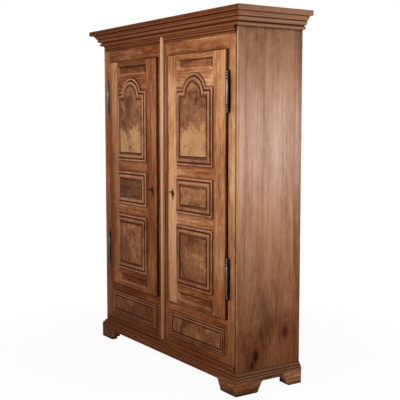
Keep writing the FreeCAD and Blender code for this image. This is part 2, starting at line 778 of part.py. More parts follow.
def carcass_nodes():
    post = front_post()
    middle_post = centre_post()
    back_post = block(half_width - back_post_width, half_width, back_y - back_post_depth, back_y,
                      foot_height, carcass_top)
    posts = [post, mirrored(post), middle_post, back_post, mirrored(back_post)]
    rails, stiles = lower_front()
    rails = [piece.cut(posts[:3]) for piece in rails]
    frieze = frieze_rail().cut(posts[:3])
    moulding = frieze_moulding()
    panel = panel_board(rect_outline(lower_opening()), front_y, lower_moulding_width, lower_bevel_width,
                        lower_field_rise)
    strips = rect_strips(lower_opening(), front_y, lower_moulding_width, lower_moulding_proud)
    base_front, base_right = base_mouldings()
    cornice = (cornice_shares, cornice_height, cornice_bottom, cornice_front_out, cornice_side_out)
    cornice_right = side_run(*cornice)
    front_foot = corner_foot(front_y - foot_out, 1, front_foot_side_arm, front_foot_front_arm)
    back_foot = corner_foot(back_y, -1, back_foot_side_arm, back_foot_back_arm)
    boards = side_boards()
    bearers = cleats()
    pins = [hinge_frame_half(z) for z in hinge_middles()]
    floor = block(-inside_half, inside_half, front_y + lower_frame_depth, back_inner, floor_bottom, floor_top)
    shelves = [block(-inside_half, inside_half, front_y + post_depth + shelf_set_back, back_inner,
                     z, z + shelf_thickness).cut(posts) for z in shelf_bottoms()]
    return {
        "front_right_foot": front_foot, "front_left_foot": mirrored(front_foot),
        "back_right_foot": back_foot, "back_left_foot": mirrored(back_foot),
        "front_base_moulding": base_front,
        "right_base_moulding": base_right, "left_base_moulding": mirrored(base_right),
        "base_bead": base_bead(),
        "front_right_post": post, "front_left_post": posts[1],
        "back_right_post": back_post, "back_left_post": posts[4],
        "centre_post": middle_post, "centre_strip": centre_strip(),
        "frieze_rails": pair([frieze]), "frieze_moulding": pair([moulding]),
        "lower_rails": pair(rails), "lower_stiles": pair(stiles),
        "lower_panels": pair([panel]), "lower_mouldings": pair(strips),
        "right_side_boards": Part.makeCompound(boards),
        "left_side_boards": Part.makeCompound([mirrored(board) for board in boards]),
        "back_boards": Part.makeCompound(back_boards()),
        "top_boards": Part.makeCompound(top_boards()),
        "floor_board": floor.cut(posts),
        "lower_shelf": shelves[0], "upper_shelf": shelves[1],
        "shelf_cleats": pair(bearers),
        "hinge_pins": pair(pins),
        "front_cornice": front_run(*cornice),
        "right_cornice": cornice_right, "left_cornice": mirrored(cornice_right),
    }


def door_nodes(side, backset):
    """Every piece that swings with one door, drawn on the right and turned over for the left."""
    key_x = door_inner + backset
    middles = hinge_middles()
    pieces = door_frame(side + "_door_", key_x, [door_leaf(z) for z in middles])
    pieces[side + "_hinge_barrels"] = Part.makeCompound([hinge_door_half(z) for z in middles])
    pieces[side + "_lock_case"] = lock_case(key_x)
    pieces[side + "_escutcheon"] = escutcheon(key_x)
    pieces[side + "_bolt"] = bolt(key_x)
    pieces[side + "_key"] = key(key_x)
    if side == "left":
        pieces = {name: mirrored(shape) for name, shape in pieces.items()}
    return pieces


os.makedirs("parts", exist_ok=True)
nodes = carcass_nodes()
nodes.update(door_nodes("right", right_backset))
nodes.update(door_nodes("left", left_backset))
for name, shape in nodes.items():
    shape.exportStep("parts/" + name + ".step")
print(len(nodes), "nodes")
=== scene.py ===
"""Walnut wardrobe in a plain studio: waxed boards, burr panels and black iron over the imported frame."""
import json
import math

import bmesh
import bpy
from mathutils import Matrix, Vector


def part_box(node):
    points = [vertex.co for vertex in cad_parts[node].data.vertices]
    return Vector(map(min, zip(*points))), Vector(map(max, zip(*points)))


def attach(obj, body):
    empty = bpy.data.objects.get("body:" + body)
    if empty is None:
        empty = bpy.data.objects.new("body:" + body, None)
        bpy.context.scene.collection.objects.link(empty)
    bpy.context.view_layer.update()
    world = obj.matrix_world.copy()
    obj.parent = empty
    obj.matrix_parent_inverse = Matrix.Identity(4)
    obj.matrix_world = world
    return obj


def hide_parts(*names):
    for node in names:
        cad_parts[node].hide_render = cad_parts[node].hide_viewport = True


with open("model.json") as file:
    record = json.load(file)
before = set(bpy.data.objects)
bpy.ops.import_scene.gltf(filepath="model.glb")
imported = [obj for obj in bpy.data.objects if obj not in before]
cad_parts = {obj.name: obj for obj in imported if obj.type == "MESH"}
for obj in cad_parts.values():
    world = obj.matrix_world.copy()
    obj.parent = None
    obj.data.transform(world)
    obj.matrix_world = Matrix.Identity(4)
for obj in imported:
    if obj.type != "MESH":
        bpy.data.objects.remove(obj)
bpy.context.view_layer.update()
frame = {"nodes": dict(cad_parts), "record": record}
nodes = frame["nodes"]
scene = bpy.context.scene
scene.view_settings.view_transform = "Standard"


# Shader building blocks

def feed_all(tree, node, sockets):
    """Link sockets of a node to other sockets, or set their values."""
    for name, value in sockets.items():
        if isinstance(value, bpy.types.NodeSocket):
            tree.links.new(value, node.inputs[name])
        else:
            node.inputs[name].default_value = value


def add(tree, kind, sockets=None, **settings):
    """New node with its settings, and its sockets set to values or linked to other sockets."""
    node = tree.nodes.new(kind)
    for name, value in settings.items():
        setattr(node, name, value)
    feed_all(tree, node, sockets or {})
    return node


def math_node(tree, operation, *values, clamp=False):
    return add(tree, "ShaderNodeMath", dict(enumerate(values)), operation=operation, use_clamp=clamp).outputs[0]


def times(tree, first, second):
    return math_node(tree, "MULTIPLY", first, second)


def plus(tree, first, second):
    return math_node(tree, "ADD", first, second)


def times_plus(tree, first, second, third):
    return math_node(tree, "MULTIPLY_ADD", first, second, third)


def wave(tree, value):
    """Sine of a value, from 0 to 1."""
    return times_plus(tree, math_node(tree, "SINE", value), 0.5, 0.5)


def about_half(tree, value):
    """Value moved so that a half becomes nought."""
    return math_node(tree, "SUBTRACT", value, 0.5)


def vector_node(tree, operation, first, second):
    return add(tree, "ShaderNodeVectorMath", {0: first, 1: second}, operation=operation).outputs[0]


def length_of(tree, vector):
    return add(tree, "ShaderNodeVectorMath", {0: vector}, operation="LENGTH").outputs["Value"]


def parts_of(tree, vector):
    return add(tree, "ShaderNodeSeparateXYZ", {0: vector}).outputs


def mix_colour(tree, factor, first, second, blend="MIX"):
    """Second colour over the first. The node's sockets 6 and 7 are its colours."""
    return add(tree, "ShaderNodeMix", {0: factor, 6: first, 7: second}, data_type="RGBA", blend_type=blend,
               clamp_factor=True).outputs[2]


def darkened(tree, factor, base, tint):
    """Colour multiplied by a tint, as far as the factor says."""
    return mix_colour(tree, factor, base, tint, "MULTIPLY")


def spread(tree, value, low, high, to_low=0.0, to_high=1.0):
    """Value stretched from one range to another with soft ends."""
    sockets = {"Value": value, "From Min": low, "From Max": high, "To Min": to_low, "To Max": to_high}
    return add(tree, "ShaderNodeMapRange", sockets, interpolation_type="SMOOTHSTEP").outputs[0]


def stretched(tree, vector, scale):
    return vector_node(tree, "MULTIPLY", vector, scale)


def cloud(tree, vector, scale=1.0, detail=2.0, roughness=0.5, distortion=0.0, output="Fac"):
    sockets = {"Vector": vector, "Scale": scale, "Detail": detail, "Roughness": roughness, "Distortion": distortion}
    return add(tree, "ShaderNodeTexNoise", sockets).outputs[output]


def pull(tree, vector, scale, detail, reach):
    """Push to all sides that changes from place to place."""
    noise = cloud(tree, vector, scale, detail, output="Color")
    return stretched(tree, vector_node(tree, "SUBTRACT", noise, (0.5, 0.5, 0.5)), reach)


def new_group(name, inputs, outputs):
    """Node group with inputs by name, which are vectors where they have no value, and outputs, which are numbers unless
    they are called Color."""
    group = bpy.data.node_groups.new(name, "ShaderNodeTree")
    for label, value in inputs.items():
        kind = "Vector" if value is None else "Float" if isinstance(value, float) else "Color"
        socket = group.interface.new_socket(label, in_out="INPUT", socket_type="NodeSocket" + kind)
        if value is not None:
            socket.default_value = value
    for label in outputs:
        kind = "Color" if label == "Color" else "Float"
        group.interface.new_socket(label, in_out="OUTPUT", socket_type="NodeSocket" + kind)
    return group, group.nodes.new("NodeGroupInput").outputs, group.nodes.new("NodeGroupOutput").inputs


def colour(red, green, blue):
    return (red, green, blue, 1.0)


def shades(dark, middle, light, **figure):
    """Colours of a wood from its dark lines to its light parts, with the values of its figure."""
    return dict(Dark=colour(*dark), Middle=colour(*middle), Light=colour(*light), **figure)


# Finishes that several materials share

def in_shades(tree, tone, given, lower, upper):
    """Colour of a tone that passes from dark to middle and from middle to light in two ranges."""
    middle = mix_colour(tree, spread(tree, tone, *lower), given["Dark"], given["Middle"])
    return mix_colour(tree, spread(tree, tone, *upper), middle, given["Light"])


def straight_grain_group():
    """Long streaks, growth lines and open pores of a straight-grained board. Grain runs along x."""
    t, given, put = new_group("Straight grain", {
        "Grain": None, "Board": 0.5, **shades((0.2, 0.1, 0.05), (0.4, 0.2, 0.1), (0.5, 0.3, 0.15)),
        "Growth lines": 0.15, "Waviness": 0.05, "Pores": 0.3, "Clouds": 0.7, "Streaks": 0.45, "Mottle": 0.5,
        "Red drift": 0.5, "Wander": 1.0}, ("Color", "Height"))
    drawn = pull(t, stretched(t, given["Grain"], (2.2, 6.0, 6.0)), 1.0, 1.5, (0.0, 0.07, 0.07))
    wandering = vector_node(t, "ADD", given["Grain"], stretched(t, drawn, given["Wander"]))
    broad = cloud(t, stretched(t, wandering, (1.6, 7.0, 7.0)), 1.0, 3.0, 0.5)
    streak = cloud(t, stretched(t, wandering, (2.4, 72.0, 72.0)), 1.0, 4.0, 0.65)
    mottle = cloud(t, stretched(t, wandering, (15.0, 36.0, 36.0)), 1.0, 4.0, 0.68, 0.5)
    fine = cloud(t, stretched(t, wandering, (11.0, 330.0, 330.0)), 1.0, 2.0, 0.6)
    _, across, deep = parts_of(t, wandering)
    bend = times(t, about_half(t, broad), given["Waviness"])
    phase = times(t, plus(t, plus(t, across, deep), bend), 420.0)
    lines = wave(t, phase)
    tone = 0.5
    for figure, share in ((broad, given["Clouds"]), (streak, given["Streaks"]), (mottle, given["Mottle"]),
                          (given["Board"], 0.36), (lines, times(t, given["Growth lines"], 0.5)), (fine, 0.14)):
        tone = times_plus(t, about_half(t, figure), share, tone)
    whole = in_shades(t, tone, given, (0.3, 0.52), (0.48, 0.72))
    drift = cloud(t, stretched(t, given["Grain"], (2.6, 9.0, 9.0)), 1.0, 2.0)
    redder = times(t, spread(t, drift, 0.45, 0.68), given["Red drift"])
    whole = darkened(t, redder, whole, colour(0.92, 0.72, 0.6))
    dashes = cloud(t, stretched(t, given["Grain"], (85.0, 1500.0, 1500.0)), 1.0, 1.0)
    pores = times(t, spread(t, dashes, 0.6, 0.7), given["Pores"])
    t.links.new(mix_colour(t, pores, whole, given["Dark"]), put["Color"])
    t.links.new(math_node(t, "SUBTRACT", times(t, fine, 0.5), times(t, pores, 0.8)), put["Height"])
    return t


def burr_group():
    """Swirling burr veneer with small eyes, light clouds and dark veins."""
    t, given, put = new_group("Burr figure", {
        "Place": None, "Board": 0.5, **shades((0.12, 0.06, 0.03), (0.3, 0.15, 0.07), (0.5, 0.29, 0.14)),
        "Cloud size": 7.0, "Veins": 0.5, "Branches": 0.5, "Eyes": 0.25}, ("Color", "Height"))
    bent = vector_node(t, "ADD", given["Place"], pull(t, given["Place"], 9.0, 2.0, (0.16, 0.16, 0.16)))
    clouds = cloud(t, bent, given["Cloud size"], 4.0, 0.6, 0.7)
    swirls = cloud(t, bent, 46.0, 4.0, 0.6, 2.2)
    eyes = add(t, "ShaderNodeTexVoronoi", {"Vector": bent, "Scale": 75.0, "Randomness": 1.0}).outputs["Distance"]
    tone = plus(t, times(t, clouds, 0.62), times(t, swirls, 0.38))
    tone = times_plus(t, about_half(t, given["Board"]), 0.4, tone)
    whole = in_shades(t, tone, given, (0.36, 0.5), (0.48, 0.62))
    rim = math_node(t, "ABSOLUTE", about_half(t, swirls))
    veins = times(t, spread(t, rim, 0.05, 0.0), given["Veins"])
    veined = mix_colour(t, veins, whole, given["Dark"])
    forks = cloud(t, bent, 6.5, 1.0, 0.5, 0.4)
    fork_rim = math_node(t, "ABSOLUTE", math_node(t, "SUBTRACT", forks, 0.52))
    branches = times(t, spread(t, fork_rim, 0.014, 0.002), given["Branches"])
    veined = mix_colour(t, branches, veined, given["Dark"])
    spots = times(t, spread(t, eyes, 0.16, 0.05), given["Eyes"])
    t.links.new(mix_colour(t, spots, veined, given["Dark"]), put["Color"])
    t.links.new(math_node(t, "SUBTRACT", swirls, veins), put["Height"])
    return t


def wear_and_painted_light_group():
    """Pale worn edges that are partly a painted highlight, wax, dirt and painted shade in the recesses and beside
    walls, and painted shade towards the floor and near the top.
    """
    t, given, put = new_group("Wear, dirt and painted light", {
        "Color": colour(0.4, 0.2, 0.1), "Place": None, "Edge": 0.0, "Rubbed": colour(0.56, 0.32, 0.16), "Rub": 0.5,
        "Dirt": colour(0.05, 0.018, 0.007), "Dirt depth": 0.6, "Recess": 0.01, "GrimeAndShade": 0.85, "Floor dark": 0.6,
        "Gloss low": 0.36, "Gloss high": 0.52, "Wax low": 0.03, "Wax high": 0.06, "Wax edge": 0.25,
        "Top dark": 0.0, "Stains": 0.0, "Rub low": 0.0}, ("Color", "Roughness", "Wax"))
    patches = cloud(t, given["Place"], 14.0, 3.0, 0.6)
    small = cloud(t, given["Place"], 90.0, 3.0, 0.6)
    # Wear and painted highlight: edges and crests turn paler where the edge attribute is set.
    wear_and_highlight = times(t, given["Edge"], spread(t, patches, 0.35, 0.62, given["Rub low"], 1.0))
    worn_and_painted_light = mix_colour(t, times(t, wear_and_highlight, given["Rub"]), given["Color"], given["Rubbed"])
    # Dirt and painted shade: ambient occlusion darkens the recesses and the wood beside walls, and deep gaps nearly to
    # black.
    grime_and_shade_reach = 0.05
    shut, beside = [add(t, "ShaderNodeAmbientOcclusion", {"Distance": reach}, samples=6).outputs["AO"]
                    for reach in (given["Recess"], grime_and_shade_reach)]
    closed = times(t, spread(t, shut, 0.94, 0.42), given["Dirt depth"])
    dirt_and_shade_colour = mix_colour(t, closed, worn_and_painted_light, given["Dirt"])
    grime_and_shade = times(t, spread(t, beside, 0.97, 0.5), given["GrimeAndShade"])
    dirt_and_shade_colour = darkened(t, grime_and_shade, dirt_and_shade_colour, colour(0.46, 0.33, 0.25))
    dirt_and_shade_colour = mix_colour(t, spread(t, beside, 0.5, 0.2), dirt_and_shade_colour, given["Dirt"])
    height = parts_of(t, given["Place"])[2]
    # Painted shade: the colour darkens in patches near the top, under the cornice, and towards the floor, where it is
    # partly the wood's own darker tone.
    low = times(t, spread(t, height, 1.05, 0.1), given["Floor dark"])
    top_shade = times(t, spread(t, height, 1.48, 1.84), given["Top dark"])
    top_shade = times(t, top_shade, spread(t, patches, 0.35, 0.62, 0.45, 1.0))
    blots = cloud(t, stretched(t, given["Place"], (6.0, 9.0, 3.2)), 1.0, 4.0, 0.6, 0.8)
    blots = times(t, spread(t, blots, 0.46, 0.66), spread(t, height, 0.85, 0.25))
    shade = darkened(t, low, dirt_and_shade_colour, colour(0.48, 0.34, 0.25))
    shade = darkened(t, top_shade, shade, colour(0.4, 0.37, 0.37))
    shade = darkened(t, times(t, blots, given["Stains"]), shade, colour(0.36, 0.3, 0.27))
    t.links.new(shade, put["Color"])
    gloss = plus(t, times(t, patches, 0.6), times(t, small, 0.4))
    t.links.new(spread(t, gloss, 0.3, 0.7, given["Gloss low"], given["Gloss high"]), put["Roughness"])
    wax = spread(t, height, 0.55, 1.3, given["Wax low"], given["Wax high"])
    wax = times(t, wax, spread(t, height, 1.86, 1.45, 0.3, 1.0))
    wax = times(t, wax, times_plus(t, small, 0.6, 0.7))
    wax = times_plus(t, given["Edge"], given["Wax edge"], wax)
    clean = math_node(t, "SUBTRACT", 1.0, closed, clamp=True)
    t.links.new(times(t, wax, clean), put["Wax"])
    return t


def knot_group():
    """Dark knot with a soft halo at a point of a side board, drawn out along the grain."""
    t, given, put = new_group("Knot", {"Place": None, "Centre": None, "Size": 0.02, "Strength": 0.8},
                              ("Mask", "Halo", "Push"))
    away = vector_node(t, "SUBTRACT", given["Place"], given["Centre"])
    ragged = about_half(t, cloud(t, given["Place"], 55.0, 3.0, 0.6))
    reach = times_plus(t, ragged, 0.016, length_of(t, stretched(t, away, (0.0, 1.0, 0.55))))
    reach = math_node(t, "DIVIDE", reach, given["Size"])
    core = spread(t, reach, 0.75, 0.3)
    ring = wave(t, times(t, reach, 11.0))
    halo = times(t, spread(t, reach, 2.4, 0.7), times_plus(t, ring, 0.35, 0.3))
    t.links.new(times(t, core, given["Strength"]), put["Mask"])
    t.links.new(times(t, halo, given["Strength"]), put["Halo"])
    long_reach = length_of(t, stretched(t, away, (0.0, 1.0, 0.3)))
    near = spread(t, math_node(t, "DIVIDE", long_reach, given["Size"]), 4.5, 0.5, 0.0, -0.85)
    t.links.new(times(t, parts_of(t, away)[1], near), put["Push"])
    return t


straight_grain = straight_grain_group()
knot = knot_group()
burr_figure = burr_group()
wear_dirt_and_painted_light = wear_and_painted_light_group()


# Materials

def new_material(name):
    material = bpy.data.materials.new(name)
    material.use_nodes = True
    tree = material.node_tree
    return material, tree, tree.nodes["Principled BSDF"]


def attribute(tree, name, output="Vector"):
    return add(tree, "ShaderNodeAttribute", attribute_name=name).outputs[output]


def placed(tree, group, **values):
    """Node group in a material, with its inputs by name."""
    sockets = {name.replace("_", " "): value for name, value in values.items()}
    return add(tree, "ShaderNodeGroup", sockets, node_tree=group).outputs


def board_tone(tree):
    return attribute(tree, "board", "Fac")


waxed_gloss = 0.008


def finish_wood(tree, shader, wood, wear_and_painted_light, bump):
    """Wear, dirt and painted light and shade over a wood's colour, its roughness and a slight bump."""
    worn_and_painted_light = placed(tree, wear_dirt_and_painted_light, Color=wood["Color"], Place=attribute(tree, "place"),
                  Edge=attribute(tree, "edge", "Fac"), **wear_and_painted_light)
    raised = add(tree, "ShaderNodeBump", {"Height": wood["Height"], "Strength": bump, "Distance": 0.0006})
    feed_all(tree, shader, {
        "Base Color": worn_and_painted_light["Color"], "Roughness": worn_and_painted_light["Roughness"], "Normal": raised.outputs[0],
        "Coat Weight": worn_and_painted_light["Wax"], "Coat Roughness": 0.42, "Coat Tint": colour(1.0, 0.93, 0.88),
        "Specular IOR Level": waxed_gloss, "Specular Tint": colour(1.0, 0.8, 0.66)})


def grained(name, grain, wear_and_painted_light, bump=0.35, darker=()):
    """Straight-grained wood. A darker stretch is an axis, the places where it starts and ends, and a change of tone."""
    material, tree, shader = new_material(name)
    board = board_tone(tree)
    for axis, start, end, change in darker:
        reach = parts_of(tree, attribute(tree, "place"))[axis]
        board = plus(tree, board, spread(tree, reach, start, end, change, 0.0))
    wood = placed(tree, straight_grain, Grain=attribute(tree, "grain"), Board=board, **grain)
    finish_wood(tree, shader, wood, wear_and_painted_light, bump)
    return material


def knotted(name, grain, wear_and_painted_light, knots, bump=0.3):
    """Grained board with knots, given as centre, size and strength."""
    material, tree, shader = new_material(name)
    place = attribute(tree, "place")
    marks = [placed(tree, knot, Place=place, Centre=centre, Size=size, Strength=strength)
             for centre, size, strength in knots]
    push = 0.0
    for seen in marks:
        push = plus(tree, seen["Push"], push)
    aside = add(tree, "ShaderNodeCombineXYZ", {2: push}).outputs[0]
    lines = vector_node(tree, "ADD", attribute(tree, "grain"), aside)
    wood = placed(tree, straight_grain, Grain=lines, Board=board_tone(tree), **grain)
    tint = wood["Color"]
    for seen in marks:
        tint = darkened(tree, seen["Halo"], tint, colour(0.55, 0.4, 0.32))
        tint = mix_colour(tree, seen["Mask"], tint, colour(0.06, 0.02, 0.01))
    finish_wood(tree, shader, {"Color": tint, "Height": wood["Height"]}, wear_and_painted_light, bump)
    return material


def burred(name, burr, wear_and_painted_light, bump=0.2, fade=None):
    """Burr panel. A fade runs from light to dark between two heights, and partly back above them."""
    material, tree, shader = new_material(name)
    tone = board_tone(tree)
    if fade:
        low, high, change = fade
        place = attribute(tree, "place")
        raggedness = 0.22
        ragged = times_plus(tree, cloud(tree, place, 11.0, 4.0, 0.6), raggedness, parts_of(tree, place)[2])
        middle = raggedness / 2
        bottom, top = low + middle, high + middle
        back_start, back_end, back_share = 0.1, 0.18, 0.8
        tone = plus(tree, tone, spread(tree, ragged, bottom, top, change, -change))
        tone = plus(tree, tone, spread(tree, ragged, top + back_start, top + back_end, 0.0, change * back_share))
    wood = placed(tree, burr_figure, Place=attribute(tree, "grain"), Board=tone, **burr)
    finish_wood(tree, shader, wood, wear_and_painted_light, bump)
    return material


frame_grain = shades(
    (0.15, 0.043, 0.014), (0.33, 0.13, 0.05), (0.585, 0.335, 0.165),
    Waviness=0.12, Pores=0.35, Streaks=0.34, Mottle=0.4, Red_drift=0.7, Wander=0.6)
frame_wear_and_painted_light = dict(Rub=0.7, Dirt_depth=0.9, Recess=0.014)
frame_walnut = grained("Golden walnut frame", frame_grain, frame_wear_and_painted_light)
stile_low, stile_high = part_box("right_door_lock_stile")
pale_stile = grained("Pale lock stile", frame_grain, frame_wear_and_painted_light, darker=(
    (0, stile_low.x, stile_low.x + 0.034, -1.5), (2, stile_high.z, stile_high.z - 0.2, -0.65)))
stile_low, stile_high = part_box("left_door_hinge_stile")
left_stile = grained("Left hinge stile", frame_grain, frame_wear_and_painted_light, darker=(
    (0, stile_low.x, stile_low.x + 0.06, -0.45), (2, stile_low.z + 0.25, stile_high.z - 0.6, -0.25)))
tray_walnut = grained("Red walnut trays", shades(
    (0.12, 0.034, 0.013), (0.25, 0.09, 0.036), (0.42, 0.19, 0.085),
    Growth_lines=0.2, Waviness=0.3, Pores=0.35, Clouds=0.9), dict(Rub=0.7, Dirt_depth=0.8, GrimeAndShade=0.3))
# Painted light: a pale finish for tray slopes that face up or right, and for the shaded sloped ends of the feet's arms.
painted_light_finish = grained("Rubbed tray ends", shades(
    (0.26, 0.1, 0.042), (0.42, 0.2, 0.095), (0.54, 0.3, 0.16),
    Growth_lines=0.1), dict(Rub=0.7, Dirt_depth=0.5, Recess=0.006, GrimeAndShade=0.2))
# Painted shade: a dark finish for tray slopes that face down or left and for the sides of the centre strip; it also
# colours the real dark joints of the side boards and the posts.
painted_shade_and_joint_finish = grained("Painted shade and dark joints", shades(
    (0.045, 0.014, 0.006), (0.1, 0.034, 0.014), (0.19, 0.075, 0.032),
    Growth_lines=0.1), dict(Rub=0.3, Dirt_depth=0.8, GrimeAndShade=0.3))
# Painted light: a paler colour with little recess darkening, so that the quirk of the corner bead shows lighter than
# its shade.
bead_quirk = grained("Pale quirk of the corner bead", shades(
    (0.28, 0.12, 0.06), (0.42, 0.22, 0.12), (0.54, 0.32, 0.19),
    Growth_lines=0.1), dict(Rub=0.0, Dirt_depth=0.1, Recess=0.004, GrimeAndShade=0.0))
moulding_walnut = grained("Red walnut panel mouldings", shades(
    (0.12, 0.034, 0.013), (0.235, 0.085, 0.035), (0.35, 0.15, 0.068)),
    dict(Rub=0.95, Rubbed=colour(0.43, 0.2, 0.098), Dirt=colour(0.07, 0.022, 0.008), Dirt_depth=0.9, Recess=0.011,
         GrimeAndShade=0.35, Floor_dark=0.75, Wax_low=0.01, Wax_high=0.1, Wax_edge=0.38, Rub_low=0.1))
strip_walnut = grained("Polished centre strip", shades(
    (0.17, 0.055, 0.023), (0.34, 0.15, 0.072), (0.52, 0.275, 0.155)),
    dict(Rub=0.2, Dirt_depth=0.97, Recess=0.009, GrimeAndShade=0.2, Wax_low=0.35, Wax_high=0.9, Wax_edge=0.0), 0.2)
cornice_figure = dict(Mottle=0.15, Clouds=0.4, Streaks=0.35)
cornice_wear_and_painted_light = dict(Rub=0.42, Dirt_depth=0.95, Recess=0.012, Floor_dark=0.3, GrimeAndShade=0.3, Wax_low=0.01, Wax_high=0.02,
                    Rub_low=0.75)
cornice_walnut = grained(
    "Dark walnut cornice",
    shades((0.085, 0.022, 0.007), (0.18, 0.055, 0.02), (0.3, 0.115, 0.048), **cornice_figure),
    dict(cornice_wear_and_painted_light, Rubbed=colour(0.34, 0.125, 0.05), Wax_edge=0.02), darker=((0, -0.8, -0.1, -0.45),))
side_cornice = grained(
    "Dull walnut side mouldings",
    shades((0.1, 0.036, 0.016), (0.2, 0.085, 0.043), (0.32, 0.158, 0.092), **cornice_figure),
    dict(cornice_wear_and_painted_light, Rubbed=colour(0.34, 0.165, 0.095), Wax_edge=0.06))
base_walnut = grained("Dark walnut feet", shades(
    (0.11, 0.037, 0.014), (0.245, 0.102, 0.045), (0.41, 0.2, 0.093),
    Growth_lines=0.25, Waviness=0.12, Pores=0.35), dict(Rub=0.7, Dirt_depth=0.8, Floor_dark=0.15, Recess=0.012))
side_knots = [((0.712, -0.055, 0.184), 0.034, 0.95), ((0.712, 0.138, 0.288), 0.036, 0.8),
              ((0.712, -0.017, 0.289), 0.026, 0.5), ((0.712, -0.081, 0.143), 0.018, 0.7)]
side_walnut = knotted("Striped walnut sides", shades(
    (0.225, 0.092, 0.042), (0.36, 0.178, 0.094), (0.455, 0.25, 0.143),
    Growth_lines=0.12, Pores=0.4, Clouds=0.6, Streaks=0.75, Red_drift=0.3, Wander=0.25),
    dict(Dirt_depth=0.85, Floor_dark=1.0, GrimeAndShade=0.5, Wax_low=0.02, Wax_high=0.6, Wax_edge=0.2, Top_dark=0.6,
         Stains=0.75), side_knots)
striped_panel = grained("Dark striped panel", shades(
    (0.055, 0.019, 0.009), (0.135, 0.049, 0.022), (0.26, 0.105, 0.047),
    Growth_lines=0.4, Waviness=0.25, Streaks=0.7, Mottle=0.45, Red_drift=0.2),
    dict(Rub=0.6, Dirt_depth=0.85, GrimeAndShade=0.25, Floor_dark=0.2))
inner_wood = grained("Plain inner boards", shades(
    (0.22, 0.125, 0.065), (0.38, 0.25, 0.145), (0.5, 0.35, 0.22),
    Growth_lines=0.5, Waviness=0.2, Pores=0.2, Red_drift=0.0),
    dict(Rub=0.3, Dirt_depth=0.8, Recess=0.02, Gloss_low=0.55, Gloss_high=0.75, Floor_dark=0.2), 0.5)
burr_colours = shades((0.1, 0.033, 0.014), (0.26, 0.105, 0.044), (0.48, 0.25, 0.11), Cloud_size=6.0, Veins=0.3)
burr_wear_and_painted_light = dict(Rub=0.6, Dirt=colour(0.08, 0.026, 0.009), Dirt_depth=0.85, GrimeAndShade=0.25, Wax_high=0.08)
burr_walnut = burred("Burr walnut panels", burr_colours, burr_wear_and_painted_light)
arched_burr = burred("Burr walnut arched panels", dict(burr_colours, Branches=0.55, Veins=0.12, Eyes=0.05), burr_wear_and_painted_light,
                     fade=(1.31, 1.4, 0.22))


def wrought_iron(name, clean, rusty, bright, glint):
    """Iron with rusty patches, made bright on its edges by wear and by a painted highlight."""
    material, tree, shader = new_material(name)
    place = attribute(tree, "place")
    patches = cloud(tree, place, 160.0, 4.0, 0.65)
    fine = cloud(tree, place, 700.0, 2.0)
    tone = mix_colour(tree, spread(tree, patches, 0.42, 0.68), clean, rusty)
    highlighted_wear = times(tree, attribute(tree, "edge", "Fac"), spread(tree, patches, 0.3, 0.6, 0.6, 1.0))
    lumps = plus(tree, patches, times(tree, fine, 0.3))
    raised = add(tree, "ShaderNodeBump", {"Height": lumps, "Strength": 0.35, "Distance": 0.0008})
    feed_all(tree, shader, {
        "Base Color": mix_colour(tree, highlighted_wear, tone, bright), "Roughness": spread(tree, fine, 0.3, 0.7, 0.28, 0.46),
        "Metallic": spread(tree, patches, 0.3, 0.7, 1.0, 0.6), "Normal": raised.outputs[0], "Specular Tint": glint})
    return material


# The third colour is that of worn edges, and on the hinges that of their painted highlight.
iron = wrought_iron("Black iron", colour(0.02, 0.02, 0.022), colour(0.025, 0.016, 0.011), colour(0.42, 0.4, 0.4),
                    colour(0.45, 0.4, 0.38))
brown_iron = wrought_iron("Brown iron", colour(0.022, 0.012, 0.006), colour(0.035, 0.016, 0.007),
                          colour(0.24, 0.14, 0.06), colour(0.4, 0.22, 0.1))


# Meshes and pieces

body_of = {node: body for body, members in frame["record"]["behaviour"]["bodies"].items() for node in members}
slot_of = {part["node"]: part["material_slot"] for part in frame["record"]["subparts"]}
made_by_hand = set()


def give(mesh, label, domain, values):
    """Attribute of single numbers or of points, which the finishes read."""
    if isinstance(values[0], tuple):
        layer = mesh.attributes.new(label, "FLOAT_VECTOR", domain)
        layer.data.foreach_set("vector", [c for point in values for c in point])
    else:
        mesh.attributes.new(label, "FLOAT", domain).data.foreach_set("value", values)


def new_mesh(name, verts, faces, grains, materials):
    """Mesh with its materials, and the grain and place of its points, which the finishes read."""
    mesh = bpy.data.meshes.new(name)
    mesh.from_pydata(verts, [], faces)
    give(mesh, "grain", "POINT", grains)
    give(mesh, "place", "POINT", verts)
    for material in materials:
        mesh.materials.append(material)
    return mesh


def face_outward(mesh):
    shape = bmesh.new()
    shape.from_mesh(mesh)
    bmesh.ops.recalc_face_normals(shape, faces=shape.faces)
    shape.to_mesh(mesh)
    shape.free()


def shade_smooth(mesh, sharp_angle):
    mesh.polygons.foreach_set("use_smooth", [True] * len(mesh.polygons))
    mesh.set_sharp_from_angle(angle=math.radians(sharp_angle))


def new_piece(mesh, body, node=None):
    """Piece that rides on a body and may stand for a CAD node."""
    piece = bpy.data.objects.new(mesh.name, mesh)
    scene.collection.objects.link(piece)
    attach(piece, body)
    if node:
        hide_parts(node)
        made_by_hand.add(node)


# Boards with softened edges

flat_within = math.radians(0.6)
sharp_over = math.radians(33)


def solids_of(node):
    """Triangles of each closed solid in a node's mesh, with the points that its faces share welded."""
    welded = bmesh.new()
    welded.from_mesh(nodes[node].data)
    target = bmesh.ops.find_doubles(welded, verts=welded.verts, dist=2e-6)["targetmap"]
    found, triangles, open_edges = [], [], set()
    for face in welded.faces:
        corners = [target.get(v, v) for v in face.verts]
        if len(set(corners)) < 3:
            continue
        triangles.append([v.index for v in corners])
        for a, b in zip(corners, corners[1:] + corners[:1]):
            open_edges ^= {frozenset((a.index, b.index))}
        if not open_edges:
            found.append(triangles)
            triangles = []
    points = [v.co.copy() for v in welded.verts]
    welded.free()
    return points, found + ([triangles] if triangles else [])


